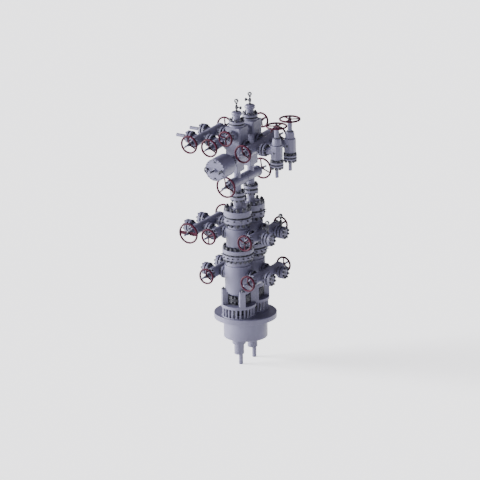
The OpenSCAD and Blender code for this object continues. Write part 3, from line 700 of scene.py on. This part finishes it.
def gauge(plated, steel, dial, glass, face):
    """A pressure gauge about its own axis: bezel, dial, glass, ticks and hand."""
    r, front = GAUGE_D / 2, GAUGE_T / 2
    back, dial_r = -front, r - 19
    lathe(plated, face, [
        (back, r - 9, 4), (back + 6, r - 3, 4), (front - 12, r - 3, 1), (front - 12, r, 2),
        (front, r, 3), (front, r - 17, 3), (front - 8, dial_r, 1),
    ], 40)
    lathe(dial, face, [(front - 7.5, dial_r), (front - 6.5, dial_r)], 40)
    lathe(glass, face, [(front - 3.5, dial_r + 1.5), (front - 2.0, dial_r + 1.5)], 40)
    for i in range(TICKS):
        long = i % 5 == 0 or i == TICKS - 1
        length, width, inset = (8, 1.8, 25) if long else (4, 1.0, 23)
        spot = face @ turn("z", i * 10 - 45) @ move(r - inset, 0, front - 6.3)
        block(steel, spot, (length, width, 0.5), 0.15)
    hand = face @ turn("z", 210) @ move((r - 30) / 2 - 4, 0, front - 5.6)
    block(steel, hand, (r - 22, 2.6, 0.8), 0.25)
    lathe(steel, face, [(front - 6.4, 4.5), (front - 5.0, 4.5)], 16)


# The shared foot

def weld_bead(shape, place, points, segments):
    """A bead of weld round a pipe, with softened corners."""
    lathe(shape, place, [(z, r, 2) for z, r in points], segments, closed=True)


def base_plate(shape):
    """The round plate about the twin's middle, with a weld and a pad under each stack."""
    middle = move(y=WELL_SPACING / 2)
    r, weld = BASE_D / 2, CONDUCTOR_D / 2
    inner = weld + CONDUCTOR_FIT
    lathe(shape, middle, [(CONDUCTOR_SEAT, inner, 1), (0, inner, 3), (0, r, 8), (BASE_T, r, 9)], 144)
    weld_bead(shape, middle, [
        (-10, weld - 1), (-10, weld + 3), (2, weld + 14), (4, weld + 14), (4, weld - 1),
    ], 144)
    for place in (UP, move(y=WELL_SPACING) @ mirror("y")):
        lathe(shape, place, [
            (BASE_T - 4, PAD_D / 2, 6), (jack_z, PAD_D / 2, 6),
        ], 128, limit=WELL_SPACING / 2)


def conductor(shape):
    """The drum under the plate, closed below, where the two casings come out through welds."""
    r, weld = CONDUCTOR_D / 2, CASING_D / 2
    low = -CONDUCTOR_LEN
    lathe(shape, move(y=WELL_SPACING / 2), [
        (low, r - 6, 2), (low + 6, r, 4), (low + 20, r, 2), (CONDUCTOR_SEAT, r, 1),
    ], 128)
    for y in (0, WELL_SPACING):
        weld_bead(shape, move(y=y), [
            (low - 12, weld), (low - 10, weld + 3), (low - 1, weld + 13), (low + 3, weld + 13),
            (low + 3, weld),
        ], 64)


# Sub-parts of a stack that are one painted piece

def casing_strings(shape):
    """Casing, liner and tubing below the drum, cut off as open pipes."""
    strings = ((CASING_D, CASING_STUB, 0), (LINER_D, LINER_STUB, 0), (TUBING_D, TUBING_STUB, TUBING_OFFSET))
    high = CONDUCTOR_SEAT
    for d, stub, x in strings:
        low, r = -CONDUCTOR_LEN - stub, d / 2
        bore = r - PIPE_WALL
        lathe(shape, move(x), [
            (high, bore), (low + 2, bore, 1), (low, bore + 3, 1), (low, r - 3, 1), (low + 4, r, 2), (high, r),
        ], 64, closed=True)


def jack_posts(shape):
    r = JACK_D / 2
    circle = (PAD_D - JACK_D) / 2 - JACK_D / 4
    foot, head = jack_z + 14, cage_z - 18
    for spot in spots(UP, JACK_COUNT, circle, 180 / JACK_COUNT, r):
        lathe(shape, spot, [
            (jack_z, r + 6, 2), (foot, r + 6, 3), (foot, r - 2, 3), (head, r - 2, 3),
            (head, r + 5, 3), (cage_z, r + 5, 2),
        ], 24)


# Sub-parts of a stack that are a painted forging and its bolting of dark steel; the dark steel also paints
# shade in the flange gaps and inside the cage

def cage_post(angle):
    """One post of the cage: its back follows the ring, its front the head, with a ledge under the head."""
    post = Shape()
    outer, half = CAGE_D / 2, CAGE_POST_W / 2
    ledge, clear = CAGE_LEDGE_D / 2, CASING_HEAD_D / 2 + CAGE_FIT
    top = neck_z + CAGE_POST_H
    spread = np.linspace(-half, half, 9)

    def ring(inner, z, inset=0):
        across = spread * (half - inset) / half
        back = [(sqrt((outer - inset) ** 2 - t * t), t, z) for t in across]
        front = [(sqrt((inner + inset) ** 2 - t * t), t, z) for t in across[::-1]]
        return back + front

    loft(post, turn("z", angle), [
        ring(ledge, neck_z - 3), ring(ledge, casing_body_z - 2), ring(ledge + 2, casing_body_z),
        ring(clear, casing_body_z), ring(clear, top - 6), ring(clear, top - 1.5, 2), ring(clear, top, 6),
    ])
    points = np.concatenate(post.points)
    points[:, 1] = np.minimum(points[:, 1], SIDE_LIMIT)
    return points, post.faces


def support_cage(shape, steel):
    """The landing ring with four posts that carry the casing head."""
    outer, bore = CAGE_D / 2, CAGE_BORE / 2
    lathe(shape, UP, [
        (cage_z, bore, 5), (cage_z, outer, 6), (neck_z, outer, 6), (neck_z, bore, 5),
    ], 128, closed=True, limit=SIDE_LIMIT)
    for angle in CAGE_POST_ANGLES:
        shape.add(*cage_post(angle))
        middle = (outer + CASING_HEAD_D / 2 + CAGE_FIT) / 2
        spot = turn("z", angle) @ move(middle, 0, neck_z + CAGE_POST_H)
        hex_nut(steel, spot, 46, 30)
        stud(steel, spot, 0, 42, 28)


def riser(steel):
    """The riser inside the cage, in dark steel as painted shade of the cage's inside, with its bolted collar
    in two halves.
    """
    neck, rim, seam = NECK_D / 2, COLLAR_D / 2, 3
    foot, low, high = neck_z + 14, collar_z - COLLAR_T / 2, collar_top_z
    lathe(steel, UP, [
        (jack_z, CASING_D / 2, 3), (neck_z, CASING_D / 2, 1), (neck_z, neck + 26, 3),
        (foot, neck + 26, 5), (foot, neck, 6), (low, neck, 6), (low, rim, 4),
        (collar_z - seam, rim, 2), (collar_z - seam, rim - 14, 1), (collar_z + seam, rim - 14, 1),
        (collar_z + seam, rim, 2), (high, rim, 4), (high, neck, 6), (high + 20, neck, 2),
    ], 128, limit=SIDE_LIMIT)
    bolt_ring(steel, UP, COLLAR_BOLTS, low, high, reach=30)


def head_top(top, thickness, hub, d):
    """Back, rim and mating edge of a head's top flange, closed across its face."""
    return [(top - thickness, hub, 10), (top - thickness, d / 2, 7), *lip(top, d, -1)]


def outlet_bosses(shape, body, z, face):
    """The round bosses left and right of a head, which carry its valves."""
    start, r = body * 0.6, BOSS_D / 2
    for side in (RIGHT_SIDE, LEFT_SIDE):
        lathe(shape, line(side, z), [(start, r, 5), (face, r, 6)], 64)


def lock_screws(steel, z, rim, count, start, reach):
    """Radial screws with their glands round a head's top flange."""
    for spot in spots(move(z=z), count, rim - 4, start, reach + 4):
        screw = spot @ RIGHT
        hex_nut(steel, screw, 34, 14)
        stud(steel, screw, 0, reach, 20)
        hex_nut(steel, screw, 15, 9, reach - 2)


def casing_head(shape, steel):
    neck, foot, body, hub = NECK_D / 2 + 1, CASING_FOOT_D / 2, CASING_HEAD_D / 2, CASING_HUB_D / 2
    start, foot_z = collar_top_z + 18, casing_body_z - CASING_FOOT_H
    top = casing_top_z + CASING_TOP_H
    riser(steel)
    lathe(shape, UP, [
        (start, neck, 2), (foot_z - 20, neck, 8), (foot_z, foot - 16, 22), (foot_z + 16, foot, 10),
        (casing_body_z, foot, 2), (casing_body_z, body, 7), (casing_top_z, body, 8), (casing_top_z, hub, 6),
        *head_top(top, CASING_FLANGE_T, hub, BIG_FLANGE_D),
    ], 128, limit=SIDE_LIMIT)
    outlet_bosses(shape, body, line_z["casing"], casing_face)
    bolt_ring(steel, UP, CASING_BOLTS, top - CASING_FLANGE_T, top + HEAD_GAP + TUBING_FLANGE_T, reach=34)
    shade_gap_ring(steel, UP, top, BIG_FLANGE_D, HEAD_GAP)
    lock_screws(steel, top - CASING_FLANGE_T / 2, BIG_FLANGE_D / 2, 18, 0, 40)


def tubing_head(shape, steel):
    body, hub = TUBING_HEAD_D / 2, TUBING_HUB_D / 2
    top = tubing_top_z + TUBING_TOP_H
    lathe(shape, UP, [
        *seal(tubing_flange_z, BIG_FLANGE_D, CASING_HUB_D, HEAD_GAP, 2), (tubing_body_z, BIG_FLANGE_D / 2, 8),
        (tubing_body_z, body, 8), (tubing_top_z, body, 8), (tubing_top_z, hub, 6),
        *head_top(top, HEAD_FLANGE_T, hub, HEAD_FLANGE_D),
    ], 128, limit=SIDE_LIMIT)
    outlet_bosses(shape, body, line_z["annulus"], annulus_face)
    bolt_ring(steel, UP, TUBING_BOLTS, top - HEAD_FLANGE_T, top + HEAD_GAP + ADAPTER_T, reach=34)
    shade_gap_ring(steel, UP, top, HEAD_FLANGE_D, HEAD_GAP)
    lock_screws(steel, top - HEAD_FLANGE_T * 0.36, HEAD_FLANGE_D / 2, 12, 15, 34)


def head_adapter(shape, steel):
    rim, foot, neck = HEAD_FLANGE_D / 2, ADAPTER_FOOT_D / 2, ADAPTER_NECK_D / 2
    top = tree_foot_z - HEAD_GAP
    back = top - TREE_FLANGE_T
    lathe(shape, UP, [
        *seal(adapter_z, HEAD_FLANGE_D, TUBING_HUB_D, HEAD_GAP, 2), (adapter_neck_z, rim, 8),
        (adapter_neck_z, foot, 5), (adapter_neck_z + 8, foot, 10),
        (adapter_neck_z + ADAPTER_FOOT_H, neck, 26), (back - 14, neck, 10), (back, neck + 12, 6),
        (back, TREE_FLANGE_D / 2, 6), *lip(top, TREE_FLANGE_D, -1),
    ], 96, limit=SIDE_LIMIT)
    for test_port in spots(move(z=adapter_z + 30), 2, rim - 3, 15):
        hex_nut(steel, test_port @ RIGHT, 34, 18)
        hex_nut(steel, test_port @ RIGHT, 20, 12, 17)
    shade_gap_ring(steel, UP, top, TREE_FLANGE_D, HEAD_GAP)
    bolt_ring(steel, UP, TREE_BOLTS, back, tree_foot_z + TREE_FLANGE_T)


def master_valve(shape, steel):
    neck, slim = MASTER_NECK_D / 2, MASTER_TOP_D / 2
    middle = line_z["master"]
    lathe(shape, UP, [
        *seal(tree_foot_z, TREE_FLANGE_D, ADAPTER_NECK_D, HEAD_GAP, 2), (master_z, TREE_FLANGE_D / 2, 7),
        (master_z, neck + 10, 8), (master_z + 26, neck, 14), (middle, neck, 1), (middle + 20, slim, 1),
        (block_z, slim, 2),
    ], 56)
    stem_body(shape, steel, move(z=middle) @ FORWARD)


def tree_block(shape, steel):
    """The block with its slim foot, the pad under the cap, the upper master's body and the swab valve."""
    half, cut = BLOCK_W / 2, BLOCK_W / 2 - BLOCK_CHAMFER
    top, wide = block_z + BLOCK_H, block_z + BLOCK_FOOT_H
    outline_prism(shape, UP, rectangle(BLOCK_FOOT_X / 2, BLOCK_FOOT_Y / 2), 14, block_z, wide + 8, 7)
    corners = [(half, -cut), (half, cut), (cut, half), (-cut, half)]
    corners += [(-x, -y) for x, y in corners]
    outline_prism(shape, UP, corners, 5, wide, top, 8)
    pad, rim = top + BLOCK_PAD_H, CAP_FLANGE_D / 2
    lathe(shape, UP, [
        (top - 9, rim - 4, 4), (top, rim - 4, 2), (top + 4, rim, 4), *lip(pad, CAP_FLANGE_D, -1),
    ], 64)
    r = VALVE_D / 2
    lathe(shape, move(z=line_z["upper_master"]) @ FORWARD, [
        (-SIDE_LIMIT, r, 6), (block_face - 26, r, 3), (block_face - 22, r + 5, 4), (block_face, r + 5, 3),
    ], 56)
    stem_body(shape, steel, move(z=line_z["swab"]) @ FORWARD)


def tree_cap(shape, steel):
    neck, nut = CAP_NECK_D / 2, CAP_NUT_D / 2
    top, seat = cap_z + CAP_FLANGE_T, gauge_z - 4
    lathe(shape, UP, [
        *seal(cap_z, CAP_FLANGE_D), (top, CAP_FLANGE_D / 2, 8), (top, neck + 10, 10), (top + 30, neck, 14),
        (cap_nut_z, neck - 4, 3), (cap_nut_z, nut, 5), (cap_nut_z + CAP_NUT_H * 0.72, nut, 12),
        (seat, nut - 16, 8), (seat, 30, 2), (gauge_z, 26, 2),
    ], 64)
    for lug in spots(move(z=cap_nut_z + CAP_NUT_H * 0.4), 3, nut - 2, 30):
        block(shape, lug, (14, 30, 34), 4)
    shade_gap_ring(steel, UP, cap_z - FACE_GAP, CAP_FLANGE_D)
    bolt_ring(steel, UP, CAP_BOLTS, cap_z, top, low_nut=False)


def cover_fittings(steel, place, cover):
    """Rim screws, two plugs and two lifting eyes on the actuator's end cover."""
    for spot in spots(place, COVER_SCREWS, ACTUATOR_COVER_D / 2 - 14, 180 / COVER_SCREWS):
        hex_nut(steel, spot, 20, 11, cover - 1)
    for way in (1, -1):
        hex_nut(steel, place @ move(0, way * 176, cover - 1), 36, 24)
    for way, tilt in ((-1, 20), (1, -30)):
        spot = place @ move(way * 172, 0, cover)
        lathe(steel, spot, [(-1, 26, 3), (10, 26, 4), (18, 16, 4), (26, 13, 2)], 24)
        torus(steel, spot @ move(z=70) @ turn("z", tilt) @ RIGHT, 50, 12, 40, 12)


def actuator(shape, steel):
    place = move(z=line_z["upper_master"]) @ FORWARD
    back, front = ACTUATOR_Y, ACTUATOR_Y + ACTUATOR_LEN
    cover = front + ACTUATOR_COVER_T
    boss_end = cover + ACTUATOR_BOSS_LEN
    flange_top = block_face + BONNET_FLANGE_T
    rim, neck, r = BONNET_FLANGE_D / 2, ACTUATOR_NECK_D / 2, ACTUATOR_D / 2
    lid, boss, gland = ACTUATOR_COVER_D / 2, ACTUATOR_BOSS_D / 2, ACTUATOR_ROD_D / 2 + 6
    lathe(shape, place, [
        (block_face, rim, 5), (flange_top, rim, 7), (flange_top, neck * 0.72, 12),
        (back - 70, neck * 0.72, 8), (back - 44, neck, 8), (back, neck, 6), (back, r - 26, 4),
        (back + 12, r - 4, 8), (back + 30, r, 6), (front - 6, r, 3), (front, r - 3, 2),
        (front, lid, 2), (cover, lid, 5), (cover, boss, 5), (boss_end, boss, 5), (boss_end, gland, 3),
        (boss_end + 12, gland, 3),
    ], 96)
    bolt_ring(steel, place, ACTUATOR_BOLTS, block_face, flange_top, low_nut=False)
    stud(steel, place, cover, cover + ACTUATOR_ROD_LEN, ACTUATOR_ROD_D)
    cover_fittings(steel, place, cover)


def casing_valves(shape, steel):
    for side in (RIGHT_SIDE, LEFT_SIDE):
        valve_line(shape, steel, side, "casing", casing_face, [CASING_VALVE_X], blind_flange, BLIND_T)


def annulus_valves_left(shape, steel):
    stems = [ANNULUS_VALVE_X, ANNULUS_OUTER_X]
    valve_line(shape, steel, LEFT_SIDE, "annulus", annulus_face, stems, blind_flange, BLIND_T)


def annulus_valve_right(shape, steel):
    beyond = SPOOL_T + FACE_GAP + BLIND_T
    valve_line(shape, steel, RIGHT_SIDE, "annulus", annulus_face, [ANNULUS_VALVE_X], spool_end, beyond)


def wing_valves_left(shape, steel):
    valve_line(shape, steel, LEFT_SIDE, "wing", block_face, [WING_LEFT_X, WING_OUTER_X], flow_stub)


def wing_valve_right(shape, steel):
    valve_line(shape, steel, RIGHT_SIDE, "wing", block_face, [WING_RIGHT_X])


def choke_body(shape, place):
    """The eight-sided body with its collar and stem housing."""
    corner, eighth = CHOKE_W / 2 / cos(pi / 8), pi / 4
    angles = [pi / 8 + i * eighth for i in range(8)]
    corners = [(corner * cos(a), corner * sin(a)) for a in angles]
    outline_prism(shape, place, corners, 5, -CHOKE_DOWN, CHOKE_UP, 7)
    collar, housing, stem = CHOKE_COLLAR_D / 2, CHOKE_HOUSING_D / 2, STEM_D / 2 + 5
    step, top = CHOKE_UP + 10, CHOKE_UP + CHOKE_COLLAR_H
    head = top + CHOKE_HOUSING_H
    lathe(shape, place, [
        (CHOKE_UP - 4, collar - 12, 3), (step, collar - 12, 3), (step, collar, 6),
        (top - 12, collar - 14, 10), (top, collar - 26, 5), (top, housing, 8), (head - 40, housing, 3),
        (head - 40, housing - 6, 2), (head - 8, housing - 6, 4), (head - 8, stem, 2), (head, stem, 2),
    ])


def choke_fittings(steel, place):
    """Stem with its nut, gland nut and the two side plugs."""
    top = CHOKE_UP + CHOKE_COLLAR_H
    wheel_top = choke_wheel_z + HUB_LEN / 2
    stud(steel, place, top + CHOKE_HOUSING_H - 4, wheel_top + STEM_END, STEM_D)
    hex_nut(steel, place, 50, 16, wheel_top + 1)
    hex_nut(steel, place, 118, 22, top - 2)
    for plug in spots(place, 2, CHOKE_W / 2 - 2, -90):
        hex_nut(steel, plug @ RIGHT, 38, 16)


def choke(shape, steel):
    """The angle choke: inlet from the wing valve, body, and the outlet with its pipe stub below."""
    z = line_z["wing"]
    flow, place = line(RIGHT_SIDE, z), move(CHOKE_X, 0, z)
    inlet = WING_RIGHT_X + VALVE_LENGTH / 2
    face = inlet + FACE_GAP
    back, neck, inside = face + END_FLANGE_T, VALVE_NECK_D / 2, CHOKE_X - 40
    lathe(shape, flow, [
        *seal(face), (back, END_FLANGE_D / 2, 6), (back, neck + 8, 8), (back + 20, neck, 12),
        (inside, neck, 1),
    ])
    choke_body(shape, place)
    choke_fittings(steel, place)
    upper = -CHOKE_DOWN - OUTLET_NECK_H
    lower = upper - END_FLANGE_T - FACE_GAP
    shoulder = lower - END_FLANGE_T
    end = shoulder - OUTLET_PIPE_LEN
    rim, r = OUTLET_FLANGE_D / 2, FLOW_PIPE_D / 2
    bore = r - FLOW_PIPE_WALL
    lathe(shape, place, [
        (end + PIPE_MOUTH, bore, 5), (end, bore, 1), (end, r - 3, 1), (end + 4, r, 2),
        (shoulder - OUTLET_CONE_H, r, 8), (shoulder, neck, 6), (shoulder, rim - 22, 6),
        (shoulder + 18, rim, 14), *lip(lower, OUTLET_FLANGE_D, -1), *seal(lower + FACE_GAP, OUTLET_FLANGE_D),
        (upper, rim, 6), (upper, neck + 8, 8), (upper + 20, neck, 10), (4 - CHOKE_DOWN, neck, 1),
    ])
    shade_gap_ring(steel, flow, inlet)
    shade_gap_ring(steel, place, lower, OUTLET_FLANGE_D)
    bolt_ring(steel, place, OUTLET_BOLTS, shoulder, upper)


# Handwheels, about Z with their face up

def wheel_blank(d, hub):
    """Rim and hub of a wheel; hub is the outline from the hub's back edge to its front edge."""
    shape = Shape()
    thick = RIM_D / 2 + RIM_EXTRA
    ring = d / 2 - thick
    half, bore = HUB_LEN / 2, STEM_D / 2 + HUB_FIT
    torus(shape, UP, ring, thick, 96, 16)
    lathe(shape, UP, [(-half, bore, 1), *hub, (half, bore, 1)], 32, closed=True)
    return shape, ring


def spoke(shape, place, start, end):
    """A straight round spoke along X, thicker at the hub and flared where it meets the rim."""
    steps = sides = 12
    angles = [2 * pi * j / sides for j in range(sides)]
    rings = []
    for t in np.linspace(0, 1, steps):
        x = start + (end - start) * t
        r = SPOKE_D / 2 * (1.7 - 0.4 * min(1, t * 5) + 0.3 * max(0, t * 8 - 7))
        rings.append([(x, r * cos(a), r * sin(a)) for a in angles])
    loft(shape, place, rings)


def spoked_wheel(d, first):
    half, r = HUB_LEN / 2, HUB_D / 2
    shape, ring = wheel_blank(d, [(-half, r - 3, 4), (14 - half, r, 5), (half - 14, r, 5), (half, r - 6, 4)])
    for arm in spots(UP, SPOKE_COUNT, 0, first):
        spoke(shape, arm, r - 8, ring - 3)
    return shape


def bladed_wheel(d, first):
    """A wheel with two flat blades across it."""
    half, r = HUB_LEN / 2, HUB_D / 2
    shape, ring = wheel_blank(d, [(-half, r - 3, 4), (half, r - 3, 4)])
    length = ring - r + 10
    for blade in spots(UP, 2, r - 6 + length / 2, first):
        block(shape, blade, (length, BLADE_W, BLADE_T), 3)
    return shape


# Building

PLAIN = (casing_strings, jack_posts)
FORGED = (
    support_cage, casing_head, tubing_head, head_adapter, master_valve, tree_block, tree_cap, actuator,
    casing_valves, annulus_valves_left, annulus_valve_right, wing_valves_left, wing_valve_right, choke,
)
BLADED_WHEEL = "annulus_wheel_outer"
GAUGE_PARTS = (("case", "plated_steel"), ("marks", "dark_steel"), ("dial", "dial"), ("glass", "glass"))
spool_x = ANNULUS_VALVE_X + VALVE_LENGTH / 2 + FACE_GAP + SPOOL_T / 2
# Name, seat, and how the front stack's gauge is set on it
GAUGES = (
    ("top_gauge", move(z=gauge_z), UP),
    ("annulus_gauge", move(spool_x, 0, line_z["annulus"] + END_FLANGE_D / 2 - 1), mirror("x")),
)


def on_stem(row, x):
    """The place of a wheel on the stem at x of a line of valves."""
    return move(x, -WHEEL_REACH, line_z[row]) @ FORWARD


# Wheels: name, outer diameter, place, angle of the first spoke
WHEELS = (
    ("swab_wheel", 340, on_stem("swab", 0), 40),
    ("master_wheel", 465, on_stem("master", 0), 100),
    ("wing_wheel_inner", 400, on_stem("wing", -WING_LEFT_X), 95),
    ("wing_wheel_outer", 400, on_stem("wing", -WING_OUTER_X), 95),
    ("wing_wheel_right", 400, on_stem("wing", WING_RIGHT_X), 95),
    ("annulus_wheel_inner", 352, on_stem("annulus", -ANNULUS_VALVE_X), 30),
    (BLADED_WHEEL, 452, on_stem("annulus", -ANNULUS_OUTER_X), 0),
    ("annulus_wheel_right", 352, on_stem("annulus", ANNULUS_VALVE_X), 30),
    ("casing_wheel_left", 348, on_stem("casing", -CASING_VALVE_X), 90),
    ("casing_wheel_right", 348, on_stem("casing", CASING_VALVE_X), 90),
    ("choke_wheel", 456, move(CHOKE_X, 0, line_z["wing"] + choke_wheel_z), -36),
)


def build_forgings(side):
    """The plain pieces and the forgings with their bolting; each painted piece stands for its node."""
    for make in PLAIN:
        node, body = f"{side}_{make.__name__}", Shape()
        make(body)
        finish_piece(f"{node}_turned", body, "body_paint", ROOT, side, node)
    for make in FORGED:
        node, body, steel = f"{side}_{make.__name__}", Shape(), Shape()
        make(body, steel)
        finish_piece(f"{node}_forging", body, "body_paint", ROOT, side, node)
        # A bolting piece may also hold dark rings of painted shade in flange gaps; the casing head's holds
        # the dark riser, painted shade inside the cage.
        finish_piece(f"{node}_bolting", steel, "dark_steel", ROOT, side)


def build_gauges(side):
    """The gauges on the cap and on the annulus spool; the rear ones are turned to look forward too."""
    for name, seat, front_way in GAUGES:
        place = seat @ (front_way if side == "front" else turn("z", 180))
        parts = [Shape() for part in GAUGE_PARTS]
        needle_valve(*parts[:2], place)
        gauge(*parts, place @ move(z=GAUGE_RISE) @ FORWARD)
        for (part, slot), shape in zip(GAUGE_PARTS, parts):
            node = f"{side}_top_gauge" if name == "top_gauge" and part == "case" else None
            finish_piece(f"{side}_{name}_{part}", shape, slot, ROOT, side, node)


def build_wheels(side):
    """Each wheel rides on its own body, which has the node's name."""
    for name, d, place, first in WHEELS:
        make = bladed_wheel if name == BLADED_WHEEL else spoked_wheel
        node = f"{side}_{name}"
        finish_piece(f"{node}_casting", make(d, first).placed(place), "wheel_paint", node, side, node)


plate, drum = Shape(), Shape()
base_plate(plate)
conductor(drum)
finish_piece("base_plate_disc", plate, "body_paint", ROOT, node="base_plate")
finish_piece("conductor_drum", drum, "body_paint", ROOT, node="conductor")
for side in SIDES:
    build_forgings(side)
    build_gauges(side)
    build_wheels(side)


# Floor, light and camera

FLOOR_HALF, FLOOR_GAP = 60.0, 0.002  # metres
FRAME_WIDTH = 9984  # millimetres across the photo's frame, at the object
LENS, SENSOR, FARTHEST = 1200, 36, 1000
FLOOR_COLOUR, FLOOR_GLOW = (0.93, 0.93, 0.94, 1), 1.3
SURROUND_COLOUR, SURROUND_STRENGTH = (0.85, 0.81, 0.97, 1), 0.48
VIEW_AZIMUTH, VIEW_ELEVATION, VIEW_ROLL = 31, 18.5, 0.65
AIM_RIGHT, AIM_UP = -97.8, 1578.7


def plain_floor():
    """A pale floor just under the lowest pipe, with light of its own."""
    finish = Finish("pale_floor")
    finish.set("Base Color", FLOOR_COLOUR)
    finish.set("Roughness", 0.9)
    finish.set("Emission Color", (1, 1, 1, 1))
    finish.set("Emission Strength", FLOOR_GLOW)
    low = (-CONDUCTOR_LEN - TUBING_STUB) * MM - FLOOR_GAP
    mesh = bpy.data.meshes.new("floor")
    mesh.from_pydata([(x, y, low) for x, y in rectangle(FLOOR_HALF, FLOOR_HALF)], [], [(0, 1, 2, 3)])
    mesh.materials.append(finish.material)
    add_object("floor", mesh)


def distant_light(name, come_from, strength, softness):
    """A light like a soft sky window, the same over the whole floor."""
    data = bpy.data.lights.new(name, "SUN")
    data.energy = strength
    data.angle = radians(softness)
    light = add_object(name, data)
    light.rotation_mode = "QUATERNION"
    light.rotation_quaternion = Vector(come_from).to_track_quat("Z", "Y")


def soft_surround():
    """Even pale light from all round."""
    world = bpy.data.worlds.new("studio")
    bpy.context.scene.world = world
    world.use_nodes = True
    surround = world.node_tree.nodes["Background"].inputs
    surround["Color"].default_value = SURROUND_COLOUR
    surround["Strength"].default_value = SURROUND_STRENGTH


def photo_camera():
    """A long lens from the photo's side, from the right and above, with the tops leaning a little left."""
    azimuth, elevation, roll = (radians(a) for a in (VIEW_AZIMUTH, VIEW_ELEVATION, VIEW_ROLL))
    level = cos(elevation)
    back = Vector((sin(azimuth) * level, -cos(azimuth) * level, sin(elevation)))
    across = Vector((cos(azimuth), sin(azimuth), 0))
    upright = back.cross(across)
    aim = (AIM_RIGHT * across + AIM_UP * upright) * MM
    right = across * cos(roll) - upright * sin(roll)
    up = across * sin(roll) + upright * cos(roll)
    data = bpy.data.cameras.new("camera")
    data.sensor_width = SENSOR
    data.lens = LENS
    data.clip_end = FARTHEST
    camera = add_object("camera", data)
    camera.rotation_mode = "QUATERNION"
    camera.rotation_quaternion = Matrix((right, up, back)).transposed().to_quaternion()
    camera.location = aim + back * FRAME_WIDTH * MM * LENS / SENSOR
    bpy.context.scene.camera = camera


plain_floor()
distant_light("key", (-12.5, -6.6, 1.6), 22.5, 40.0)
distant_light("fill", (11.0, -7.0, 1.5), 1.0, 60.0)
soft_surround()
photo_camera()
